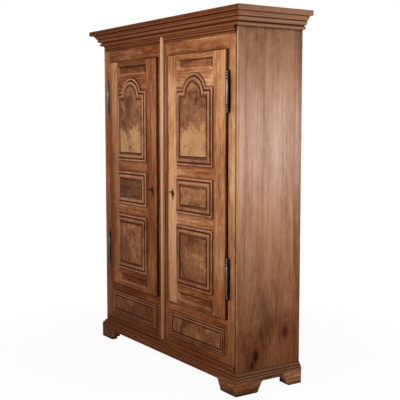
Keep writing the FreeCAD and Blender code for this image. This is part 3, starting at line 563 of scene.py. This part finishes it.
def softened(points, triangles, width):
    """One solid with flat faces joined and its sharp edges rounded over."""
    solid = bmesh.new()
    used = {i: solid.verts.new(points[i]) for i in dict.fromkeys(i for triangle in triangles for i in triangle)}
    for triangle in triangles:
        try:
            solid.faces.new([used[i] for i in triangle])
        except ValueError:
            pass
    bmesh.ops.recalc_face_normals(solid, faces=solid.faces)
    bmesh.ops.dissolve_limit(solid, angle_limit=flat_within, verts=solid.verts, edges=solid.edges)
    sharp = [e for e in solid.edges if e.is_manifold and e.calc_face_angle(0.0) > sharp_over]
    made = bmesh.ops.bevel(solid, geom=sharp, offset=width, offset_type="OFFSET", segments=2, profile=0.55,
                           affect="EDGES", clamp_overlap=True)
    return solid, set(made["faces"])


def along_longest(corners):
    """Order of the axes in which a board's longest one comes first, for its grain."""
    size = [max(p[i] for p in corners) - min(p[i] for p in corners) for i in range(3)]
    longest = size.index(max(size))
    return [longest] + [i for i in range(3) if i != longest]


# Tone of the boards, about 0 for dark and red and about 1 for pale gold, in the order of the node's solids
# Besides the wood's own differences, the tones hold painted light and shade: boards in shade, as on the left door, are
# darker and lit ones paler.
tones = {
    "right_door_lock_stile": [1.06], "right_door_hinge_stile": [0.53], "left_door_hinge_stile": [0.42],
    "left_door_lock_stile": [0.12], "right_door_rails": [0.57, 0.6, 0.54, 0.2],
    "left_door_rails": [0.05, 0.25, 0.35, 0.2],
    "front_right_post": [0.68], "front_left_post": [0.2], "centre_post": [0.3], "frieze_rails": [0.32, 0.05],
    "centre_strip": [1.2], "back_right_post": [0.3],
    "lower_rails": [0.3, 0.4, 0.05, 0.1], "lower_stiles": [0.42, 0.48, 0.08, 0.08],
    "right_door_middle_panel": [0.45], "left_door_middle_panel": [0.42], "right_door_lower_panel": [0.43],
    "left_door_lower_panel": [0.4], "right_door_arched_panel": [0.56], "left_door_arched_panel": [0.53],
    "lower_panels": [0.36, 0.32], "right_side_boards": [0.6, 0.65],
    "front_right_foot": [0.12], "back_right_foot": [0.66], "front_left_foot": [0.0],
}


def middling(number):
    """Tone for a board that has none listed, which differs from its neighbours."""
    return 0.35 + 0.3 * (number * 0.618 % 1.0)


def dressed(node, materials, width, pick):
    """Soft-edged piece that stands for a CAD node, with grain, place, board and edge attributes for its finish."""
    points, found = solids_of(node)
    verts, faces, grains, boards, edges, picks = [], [], [], [], [], []
    for number, triangles in enumerate(found):
        solid, rounded = softened(points, triangles, width)
        corners = [v.co for v in solid.verts]
        axes = along_longest(corners)
        seed = sum(ord(c) * (i + 3) for i, c in enumerate(node)) * 0.317 + number * 5.71
        shift = Vector((seed % 31.0, (seed * 1.7) % 23.0, (seed * 2.9) % 19.0))
        listed = tones.get(node)
        tone = listed[number % len(listed)] if listed else middling(seed)
        start = len(verts)
        solid.verts.index_update()
        verts += [tuple(p) for p in corners]
        grains += [tuple(Vector([p[i] for i in axes]) + shift) for p in corners]
        for face in solid.faces:
            faces.append([start + v.index for v in face.verts])
            boards.append(tone)
            edges += [1.0 if face in rounded else 0.0] * len(face.verts)
            picks.append(pick(face.calc_center_median(), face.normal) if pick else 0)
        solid.free()
    mesh = new_mesh(node + "_finished", verts, faces, grains, materials)
    give(mesh, "board", "FACE", boards)
    give(mesh, "edge", "CORNER", edges)
    mesh.polygons.foreach_set("material_index", picks)
    shade_smooth(mesh, 20)
    new_piece(mesh, body_of[node], node)


finish_of = {
    "walnut": [frame_walnut], "panel_walnut": [burr_walnut], "moulding_walnut": [moulding_walnut],
    "side_walnut": [side_walnut], "inner_wood": [inner_wood], "iron": [iron],
}
door_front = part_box("right_door_lock_stile")[0].y
carcass_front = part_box("lower_stiles")[0].y
post_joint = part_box("right_side_boards")[0].y
just_behind, tray_reach, quirk_reach, joint_reach = 0.0006, 0.008, 0.012, 0.002
sloped, square_on, facing_front, facing_side = 0.15, 0.97, -0.2, 0.6
bead_x, post_end_x, post_side_x = 0.69, 0.7, 0.704
sole_z, strip_right, strip_left = 0.004, 0.72, -0.8


def in_tray(centre, normal):
    """Second finish for the floor of a tray sunk into a door rail, third, a painted light, for its slopes that face up
    or right, last, a painted shade, for those that face down or left.
    """
    if normal.y > facing_front or not door_front + just_behind < centre.y < door_front + tray_reach:
        return 0
    if normal.z < -sloped or normal.x < -sloped:
        return 3
    return 2 if normal.x > sloped or normal.z > sloped else 1


def on_side(centre, normal):
    """Second finish for the face of a front post that shows on the cabinet's side, third for the quirk beside its bead,
    painted paler to lift its shade, last for the dark joint with the side boards."""
    out = abs(centre.x)
    if out > post_end_x and abs(normal.x) < square_on and centre.y > post_joint - joint_reach:
        return 3
    if out > post_side_x and abs(normal.x) > facing_side:
        return 1
    return 2 if out > bead_x and carcass_front + just_behind < centre.y < carcass_front + quirk_reach else 0


def under_arm(centre, normal):
    """Second finish, a painted light, for the sloped ends of a foot's arms, which face down into shade, but not for its
    sole.
    """
    return 1 if normal.z < -sloped and centre.z > sole_z else 0


def shaded_strip_sides(centre, normal):
    """Second finish, a painted shade, for the sides of the centre strip."""
    return 1 if normal.x > strip_right or normal.x < strip_left else 0


def at_joint(centre, normal):
    """Second finish for the edge of the side boards that meets a front post."""
    return 1 if abs(normal.x) < square_on and centre.y < post_joint + joint_reach else 0


# Turned iron, keys and pegs

def turned(profile, centre, axis, steps=36):
    """Points and faces of a turning, from radius and distance along its axis. Both ends close on the axis."""
    points, faces = [], []
    for r, h in profile:
        for i in range(steps if r else 1):
            a = 2 * math.pi * i / steps
            offset = (r * math.cos(a), r * math.sin(a), h) if axis == "z" else (r * math.cos(a), -h, r * math.sin(a))
            points.append(Vector(centre) + Vector(offset))
    start = 0
    for (r0, _), (r1, _) in zip(profile, profile[1:]):
        n0, n1 = (steps if r0 else 1), (steps if r1 else 1)
        for i in range(steps):
            j = (i + 1) % steps
            ring = [start + i % n0, start + j % n0, start + n0 + j % n1, start + n0 + i % n1]
            faces.append(list(dict.fromkeys(ring)))
        start += n0
    return points, faces


def bar(low, high):
    """Points and faces of a plate with its edges chamfered."""
    middle = (Vector(low) + Vector(high)) / 2
    half = (Vector(high) - Vector(low)) / 2
    plate = bmesh.new()
    bmesh.ops.create_cube(plate, size=2.0)
    for v in plate.verts:
        v.co = middle + Vector([v.co[i] * half[i] for i in range(3)])
    bmesh.ops.bevel(plate, geom=plate.edges[:], offset=min(half) * 0.3, segments=2, profile=0.5, affect="EDGES")
    plate.verts.index_update()
    made = [v.co.copy() for v in plate.verts], [[v.index for v in f.verts] for f in plate.faces]
    plate.free()
    return made


def swept_ring(centre, reach, thick, dent, steps=48, around=14):
    """Level ring of round rod, pushed in where it meets the shank."""
    points, faces = [], []
    for i in range(steps):
        a = 2 * math.pi * i / steps
        r = reach * (1.0 - dent * max(0.0, math.cos(a)) ** 6)
        out = Vector((math.sin(a), math.cos(a), 0.0))
        for k in range(around):
            b = 2 * math.pi * k / around
            points.append(Vector(centre) + out * (r + thick * math.cos(b)) + Vector((0, 0, thick * math.sin(b))))
            j, m = (i + 1) % steps, (k + 1) % around
            faces.append([i * around + k, j * around + k, j * around + m, i * around + m])
    return points, faces


# Side of the right and left hinges that gets a painted highlight, and how strong it is at the upper and the lower hinge
painted_highlight_side = {"right": (Vector((-0.45, -0.89, 0.0)), 1.0, 0.35), "left": (Vector((0.7, -0.7, 0.0)), 0.22, 0.12)}


def wrought(name, parts, material, body, stands_for=None, highlighted_wear=False):
    """One piece from several lists of points and faces, with a painted highlight on the iron's outer side."""
    verts, faces = [], []
    for points, loops in parts:
        faces += [[len(verts) + i for i in loop] for loop in loops]
        verts += [tuple(p) for p in points]
    mesh = new_mesh(name, verts, faces, verts, [material])
    face_outward(mesh)
    painted_highlight = []
    for v in mesh.vertices:
        outward, upper, lower = painted_highlight_side["right" if v.co.x > 0 else "left"]
        most = upper if v.co.z > 1.0 else lower
        painted_highlight.append(max(0.0, min(most, 2.2 * v.normal.dot(outward) - 0.9)) if highlighted_wear else 0.0)
    give(mesh, "edge", "POINT", painted_highlight)
    shade_smooth(mesh, 40)
    new_piece(mesh, body, stands_for)


# Mouldings run round the panels

# Section of a door's moulding: distance in from the opening, height over the frame, and how far it is worn and painted
# with a highlight
door_section = [
    (0.0, -0.3, 0.0), (0.0, 3.8, 0.0), (1.2, 6.4, 0.8), (4.4, 8.4, 1.0), (8.0, 8.6, 0.8), (11.4, 7.2, 0.5),
    (13.2, 5.0, 0.0), (13.8, -1.0, 0.0), (20.2, -1.0, 0.0), (20.8, 8.4, 0.3), (22.0, 10.8, 1.0), (25.6, 12.6, 0.8),
    (30.0, 13.0, 0.5), (35.0, 12.4, 0.4), (38.4, 10.4, 0.2), (39.4, 8.0, 0.0), (40.0, 3.4, 0.0), (48.0, 3.4, 0.0),
    (48.0, -8.8, 0.0), (0.6, -8.8, 0.0),
]
# The lower panels have the same moulding, 28 mm wide instead of 48 mm, and flatter
lower_section = [(u * 28.0 / 48.0, h * 0.62 if h > 0 else h, wear_and_highlight) for u, h, wear_and_highlight in door_section]
sides = (("right", 1), ("left", -1))
arch_middle, arch_reach, arch_height, shoulder = 339.5, 117.4785, 1527.5215, 1566.0
arch_steps = 28


def rect_sides(opening, margin):
    x0, x1, z0, z1 = opening
    corners = [(x0 - margin, z0 - margin), (x1 + margin, z0 - margin), (x1 + margin, z1 + margin),
               (x0 - margin, z1 + margin)]
    return [[corners[i], corners[(i + 1) % 4]] for i in range(4)]


def arch_sides(opening, margin):
    """Bottom, right side, right shoulder, arch, left shoulder and left side of the arched panel's outline."""
    bottom, right, top, left = rect_sides(opening, margin)
    z = shoulder + margin
    reach = arch_reach + margin
    start = math.asin((z - arch_height) / reach)
    arc = []
    for i in range(arch_steps + 1):
        a = start + (math.pi - 2 * start) * i / arch_steps
        arc.append((arch_middle + reach * math.cos(a), arch_height + reach * math.sin(a)))
    return [bottom, right, [right[1], arc[0]], arc, [arc[-1], left[0]], left]


def run_strips(node, strips, section, material):
    """Run mouldings that stand for a node, as closed strips with the grain along them. A strip is rows of points, one
    for each point of the section, a tone, and a section of its own where it has one."""
    verts, faces, grains, boards, wears_and_highlights = [], [], [], [], []
    for number, (rows, tone, *own) in enumerate(strips):
        first, count, loops = len(verts), len(rows[0]), len(rows)
        highlighted_wear = own[0] if own else section
        reach = [abs(rows[0][-1][i] - rows[0][0][i]) for i in range(3)]
        lengthwise = reach.index(max(reach))
        for k, row in enumerate(rows):
            for i, point in enumerate(row):
                run = i * 0.009 if count > 2 else point[lengthwise]
                verts.append(point)
                grains.append((run + number * 1.37, k * 0.004 + number * 0.7, number * 1.9))
                wears_and_highlights.append(highlighted_wear[k][2])
            a, b = first + k * count, first + (k + 1) % loops * count
            faces += [[a + i, a + i + 1, b + i + 1, b + i] for i in range(count - 1)]
        faces.append([first + k * count for k in range(loops)])
        faces.append([first + k * count + count - 1 for k in range(loops)])
        boards += [tone] * (len(faces) - len(boards))
    mesh = new_mesh(node + "_run", verts, faces, grains, [material])
    give(mesh, "edge", "POINT", wears_and_highlights)
    give(mesh, "board", "FACE", boards)
    face_outward(mesh)
    shade_smooth(mesh, 42)
    new_piece(mesh, body_of[node], node)


def panel_strips(runs, face_y, mirror, section):
    """Mitred strips round several openings."""
    strips = []
    for sides_at, opening in runs:
        outlines = [sides_at(opening, -u) for u, h, wear_and_highlight in section]
        for number in range(len(outlines[0])):
            placed_rows = [[(mirror * x / 1000, face_y - h / 1000, z / 1000) for x, z in outline[number]]
                           for (u, h, wear_and_highlight), outline in zip(section, outlines)]
            strips.append((placed_rows, middling(len(strips))))
    return strips


# Openings of the panels in millimetres: left, right, bottom and top
door_panels = [(arch_sides, (165.0, 514.0, 1152.066, shoulder)), (rect_sides, (165.0, 514.0, 888.062, 1088.066)),
               (rect_sides, (165.0, 514.0, 485.0, 823.062))]
for side, sign in sides:
    door_strips = panel_strips(door_panels, door_front, sign, door_section)
    run_strips(side + "_door_mouldings", door_strips, door_section, moulding_walnut)
low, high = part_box("lower_mouldings")
lower_panel = [(rect_sides, (78.0, 601.0, low.z * 1000, high.z * 1000))]
lower_strips = []
for side, sign in sides:
    lower_strips += panel_strips(lower_panel, carcass_front, sign, lower_section)
run_strips("lower_mouldings", lower_strips, lower_section, moulding_walnut)

# Cornice and frieze sections, as shares of their projection and height, and how far they are worn and painted with a
# highlight
cornice_section = [
    (0.0, 0.0, 0.0), (0.12, 0.0, 0.0), (0.21, 0.012, 0.3), (0.275, 0.05, 0.8), (0.29, 0.1, 1.0), (0.27, 0.155, 1.0),
    (0.2, 0.195, 0.3), (0.16, 0.202, 0.0), (0.16, 0.242, 0.0), (0.31, 0.247, 0.5), (0.385, 0.28, 0.8),
    (0.43, 0.33, 1.0), (0.455, 0.385, 1.0), (0.45, 0.43, 0.4), (0.4, 0.442, 0.0), (0.4, 0.48, 0.0), (0.54, 0.487, 0.8),
    (0.55, 0.53, 1.0), (0.58, 0.585, 0.5), (0.63, 0.635, 0.4), (0.7, 0.668, 1.0), (0.71, 0.682, 0.4), (0.64, 0.69, 0.0),
    (0.64, 0.71, 0.0), (0.92, 0.712, 0.0), (0.965, 0.717, 0.5), (1.0, 0.735, 1.0), (1.0, 0.8, 0.1), (1.0, 0.95, 0.2),
    (1.0, 0.97, 1.0), (0.985, 0.994, 1.0), (0.96, 1.0, 0.8), (0.0, 1.0, 0.0),
]
frieze_section = [
    (0.0, 0.0, 0.0), (0.25, 0.0, 0.0), (0.48, 0.05, 0.4), (0.58, 0.13, 1.0), (0.48, 0.21, 0.8), (0.25, 0.25, 0.0),
    (0.05, 0.26, 0.0), (0.05, 0.37, 0.0), (0.42, 0.39, 0.6), (0.56, 0.48, 1.0), (0.62, 0.6, 0.8), (0.6, 0.66, 0.2),
    (0.2, 0.68, 0.0), (0.2, 0.77, 0.0), (0.85, 0.79, 0.6), (0.98, 0.84, 1.0), (1.0, 0.9, 0.6), (1.0, 1.0, 0.0),
    (0.0, 1.0, 0.0),
]
front_low, front_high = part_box("front_cornice")
side_low, side_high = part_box("right_cornice")


def section_points(section, start, reach):
    """Points of a section, from where it starts and how far it reaches along x and y and upwards."""
    return [(start[0] + s * reach[0], start[1] + s * reach[1], start[2] + t * reach[2]) for s, t, wear_and_highlight in section]


def mitred(points, back):
    """Rows of the right strip, from its mitre to its back end, and of the front strip between its mitres."""
    return [[(x, y, z), (x, back, z)] for x, y, z in points], [[(-x, y, z), (x, y, z)] for x, y, z in points]


def turned_over(rows):
    """Rows of a strip mirrored to the other side of the wardrobe."""
    return [[(-x, y, z) for x, y, z in row] for row in rows]


cornice_points = section_points(
    cornice_section, (side_low.x, front_high.y, front_low.z),
    (side_high.x - side_low.x, front_low.y - front_high.y, front_high.z - front_low.z))
right_rows, front_rows = mitred(cornice_points, side_high.y)
run_strips("front_cornice", [(front_rows, 0.0)], cornice_section, cornice_walnut)
# Painted light: the right cornice has a paler tone than the left one, as the lit side.
run_strips("right_cornice", [(right_rows, 1.1)], cornice_section, side_cornice)
run_strips("left_cornice", [(turned_over(right_rows), 0.2)], cornice_section, side_cornice)
low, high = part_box("frieze_moulding")
strip_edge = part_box("centre_strip")[1].x
frieze_points = section_points(frieze_section, (high.x, high.y, low.z), (0.0, low.y - high.y, high.z - low.z))
frieze_rows = [[(strip_edge, y, z), (x, y, z)] for x, y, z in frieze_points]
frieze_strips = [(frieze_rows, 0.35), (turned_over(frieze_rows), 0.1)]
run_strips("frieze_moulding", frieze_strips, frieze_section, cornice_walnut)

# Base moulding and the apron strip under it, in the same way
base_section = [
    (0.0, 0.0, 0.0), (0.93, 0.0, 0.0), (0.985, 0.02, 0.6), (1.0, 0.07, 1.0), (1.0, 0.18, 0.6), (0.98, 0.25, 1.0),
    (0.92, 0.28, 0.8), (0.68, 0.285, 0.0), (0.68, 0.37, 0.0), (0.84, 0.375, 0.5), (0.87, 0.42, 1.0), (0.84, 0.48, 1.0),
    (0.76, 0.54, 0.7), (0.66, 0.58, 0.4), (0.58, 0.6, 0.2), (0.36, 0.605, 0.0), (0.36, 0.69, 0.0), (0.5, 0.695, 0.5),
    (0.5, 0.74, 1.0), (0.42, 0.79, 0.7), (0.3, 0.86, 0.2), (0.22, 0.92, 0.4), (0.19, 0.96, 1.0), (0.15, 0.99, 1.0),
    (0.1, 1.0, 0.5), (0.0, 1.0, 0.0),
]
apron_section = [(0.0, 0.0, 0.0), (0.88, 0.0, 0.2), (0.96, 0.04, 1.0), (1.0, 0.14, 0.6), (1.0, 1.0, 0.0),
                 (0.0, 1.0, 0.0)]
base_low, base_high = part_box("front_base_moulding")
base_side_low, base_side_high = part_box("right_base_moulding")
foot_top, base_out, apron_out = 0.074, base_side_high.x - base_side_low.x, 0.018
front_apron_end, side_apron_start, side_apron_end = 0.564, -0.024, 0.112
base_points = section_points(base_section, (base_side_low.x, base_high.y, foot_top),
                             (base_out, -base_out, base_high.z - foot_top))
base_rows, base_front = mitred(base_points, base_side_high.y)
apron_points = section_points(apron_section, (base_side_low.x, base_high.y, base_low.z),
                              (apron_out, -apron_out, foot_top - base_low.z))
apron_side = [[(x, side_apron_start, z), (x, side_apron_end, z)] for x, y, z in apron_points]
apron_front = [[(-front_apron_end, y, z), (front_apron_end, y, z)] for x, y, z in apron_points]
for place, base, base_tone, apron, apron_tone, finish in (
        ("front", base_front, 0.3, apron_front, 0.2, cornice_walnut),
        ("right", base_rows, -0.2, apron_side, -0.2, side_cornice),
        ("left", turned_over(base_rows), 0.2, turned_over(apron_side), 0.1, side_cornice)):
    base_strips = [(base, base_tone), (apron, apron_tone, apron_section)]
    run_strips(place + "_base_moulding", base_strips, base_section, finish)


# Hinges, keys and pegs

hinge_x, hinge_y, hinge_half = 0.640, -0.186, 0.107
leaf_half, leaf_gap, leaf_start, leaf_end = 0.00125, 0.006, 0.006, 0.066
door_leaf_x, door_leaf_back, frame_leaf_y = 0.590, 0.0085, -0.144
# Radius and distance from the hinge's middle in millimetres
finial = [(9.0, 62.5), (8.2, 63.5), (4.2, 65.5), (3.8, 67.0), (6.4, 68.2), (8.4, 70.4), (9.0, 73.0), (8.4, 75.6),
          (6.4, 77.8), (3.8, 79.2), (3.6, 80.6), (6.0, 81.8), (8.0, 84.0), (8.6, 86.6), (8.0, 89.2), (6.0, 91.4),
          (3.6, 92.8), (3.4, 94.0), (5.6, 95.4), (7.0, 97.6), (7.4, 99.8), (6.8, 102.0), (5.0, 104.6), (2.4, 106.5),
          (0.0, 107.0)]
bored_end = [(0.0, 58.0), (4.6, 58.0), (4.6, 0.1), (8.4, 0.1), (9.0, 0.8)]
pinned_end = [(0.0, -55.0), (3.6, -55.0), (4.5, -53.5), (4.5, 0.1), (8.4, 0.1), (9.0, 0.8)]
hinge_middles = (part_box("hinge_pins")[0].z + hinge_half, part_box("right_hinge_barrels")[1].z - hinge_half)


def hinge_side(sign, end, up):
    """Turned halves of one side's two hinges, with their leaves."""
    parts = []
    for middle in hinge_middles:
        profile = [(r / 1000, up * h / 1000) for r, h in end + finial]
        parts.append(turned(profile, (sign * hinge_x, hinge_y, middle), "z"))
        z0, z1 = sorted((middle + up * leaf_start, middle + up * leaf_end))
        if up > 0:
            x0, x1 = sorted((sign * door_leaf_x, sign * (hinge_x - leaf_gap)))
            back = hinge_y + door_leaf_back
        else:
            x0, x1 = sign * hinge_x - leaf_half, sign * hinge_x + leaf_half
            back = frame_leaf_y
        parts.append(bar((x0, hinge_y + leaf_gap, z0), (x1, back, z1)))
    return parts


key_x = {"right_key": 0.123, "left_key": -0.101}
bit_drop, bit_half, bit_start, bit_end, bit_root = 0.016, 0.0015, 0.0085, 0.0005, 0.002
key_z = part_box("right_key")[0].z + bit_drop
key_tip = [(0.0, 0.0), (3.3, 0.0), (3.5, 0.6)]
# Radius, and distance back from the bow in millimetres
key_collars = [(3.5, 14.0), (4.6, 13.0), (5.0, 11.6), (4.6, 10.2), (3.4, 9.4), (3.4, 7.6), (4.4, 6.8), (4.4, 5.4),
               (3.0, 4.4), (2.6, 1.0), (2.2, 0.0), (0.0, -0.4)]
bow_reach, bow_thick, bow_dent, bow_middle, bow_to_shank = 0.0088, 0.0021, 0.22, 0.011, 0.0065


def key_parts(node):
    """Turned shank with collars, a ring bow and the bit."""
    low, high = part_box(node)
    x, z = key_x[node], key_z
    bow_y = low.y + bow_middle
    length = (high.y - bow_y - bow_to_shank) * 1000
    shank = key_tip + [(r, length - back) for r, back in key_collars]
    return [turned([(r / 1000, h / 1000) for r, h in shank], (x, high.y, z), "y", 24),
            swept_ring((x, bow_y, z), bow_reach, bow_thick, bow_dent),
            bar((x - bit_half, high.y - bit_start, low.z), (x + bit_half, high.y - bit_end, z - bit_root))]


for side, sign in sides:
    wrought(side + "_hinge_barrels_turned", hinge_side(sign, bored_end, 1), iron, side + "_door",
            side + "_hinge_barrels", True)
    wrought(side + "_key_turned", key_parts(side + "_key"), brown_iron, side + "_key", side + "_key")
wrought("hinge_pins_turned", hinge_side(1, pinned_end, -1) + hinge_side(-1, pinned_end, -1), iron, "carcass",
        "hinge_pins", True)
peg = [(0.0, 0.0006), (0.0026, 0.0005), (0.0034, 0.0), (0.0034, -0.003), (0.0, -0.003)]
peg_columns = (0.530, 0.150)
peg_heights = (1.704, 1.611, 1.122, 0.855, 0.455)
for side, sign in sides:
    pegs = [turned(peg, (sign * x, door_front, z), "y", 20) for x in peg_columns for z in peg_heights]
    wrought(side + "_door_pegs", pegs, base_walnut, side + "_door")


# All other nodes: those with a finish of their own, by the end of their names, with the pick of faces for each material
own_finish = (
    ("_door_rails", [frame_walnut, tray_walnut, painted_light_finish, painted_shade_and_joint_finish], in_tray),
    (("front_right_post", "front_left_post"), [frame_walnut, side_walnut, bead_quirk, painted_shade_and_joint_finish], on_side),
    ("_side_boards", [side_walnut, painted_shade_and_joint_finish], at_joint),
    (("back_right_post", "back_left_post"), [side_walnut], None),
    ("_foot", [base_walnut, painted_light_finish], under_arm),
    ("centre_strip", [strip_walnut, painted_shade_and_joint_finish], shaded_strip_sides),
    ("base_bead", [cornice_walnut], None),
    ("_arched_panel", [arched_burr], None),
    ("left_door_middle_panel", [striped_panel], None),
    ("_escutcheon", [brown_iron], None),
    ("right_door_lock_stile", [pale_stile], None),
    ("left_door_hinge_stile", [left_stile], None),
)
iron_edge, board_edge, bead_edge = 0.0004, 0.0009, 0.0022
for node in nodes:
    if node in made_by_hand:
        continue
    materials, pick = finish_of[slot_of[node]], None
    for ending, own_materials, own_pick in own_finish:
        if node.endswith(ending):
            materials, pick = own_materials, own_pick
    width = iron_edge if slot_of[node] == "iron" else bead_edge if node == "base_bead" else board_edge
    dressed(node, materials, width, pick)


# Studio

def seen_directly(tree):
    """Rays from the camera, and those that metal and glass send on."""
    path = add(tree, "ShaderNodeLightPath").outputs
    sent_on = plus(tree, path["Is Glossy Ray"], path["Is Transmission Ray"])
    return math_node(tree, "ADD", path["Is Camera Ray"], sent_on, clamp=True)


def pale_studio():
    """White floor that keeps the shadow near the wardrobe, and a white world."""
    bpy.ops.mesh.primitive_plane_add(size=60.0, location=(0, 0, 0))
    floor = bpy.context.object
    floor.name = "pale_floor"
    material, tree, shader = new_material("Pale floor")
    feed_all(tree, shader, {"Base Color": colour(0.6, 0.6, 0.6), "Roughness": 0.95, "Specular IOR Level": 0.0})
    white = add(tree, "ShaderNodeEmission", {"Color": colour(1, 1, 1), "Strength": 1.0})
    place = add(tree, "ShaderNodeNewGeometry").outputs["Position"]
    share = spread(tree, length_of(tree, place), 0.7, 1.9, 0.95, 1.0)
    blend = add(tree, "ShaderNodeMixShader", {0: times(tree, seen_directly(tree), share), 1: shader.outputs[0],
                                              2: white.outputs[0]})
    tree.links.new(blend.outputs[0], tree.nodes["Material Output"].inputs["Surface"])
    floor.data.materials.append(material)
    world = bpy.data.worlds.new("Studio")
    scene.world = world
    world.use_nodes = True
    tree = world.node_tree
    strength = add(tree, "ShaderNodeMapRange", {"Value": seen_directly(tree), "To Min": 0.12, "To Max": 1.0}).outputs[0]
    feed_all(tree, tree.nodes["Background"], {"Strength": strength, "Color": colour(1, 1, 1)})


def soft_lamp(name, place, aim, size, power):
    data = bpy.data.lights.new(name, "AREA")
    data.shape = "DISK"
    data.size = size
    data.energy = power
    lamp = bpy.data.objects.new(name, data)
    lamp.location = place
    lamp.rotation_euler = (Vector(aim) - Vector(place)).to_track_quat("-Z", "Y").to_euler()
    scene.collection.objects.link(lamp)


pale_studio()
soft_lamp("Key lamp", (0.85, -2.6, 2.1), (0.1, -0.15, 1.25), 0.6, 68.0)
soft_lamp("Rear side lamp", (2.9, 1.65, 1.35), (0.7, 0.0, 1.3), 1.2, 72.0)
soft_lamp("Left front lamp", (-2.1, -1.7, 1.6), (0.0, -0.2, 1.3), 0.6, 6.0)

camera_data = bpy.data.cameras.new("Camera")
camera_data.lens = 74.1
camera_data.sensor_width = 36.0
camera = bpy.data.objects.new("Camera", camera_data)
camera.location = (3.993, -2.603, 1.397)
downward, turned_left = 5.54, 56.14
camera.rotation_euler = (math.radians(90 - downward), 0.0, math.radians(turned_left))
scene.collection.objects.link(camera)
scene.camera = camera
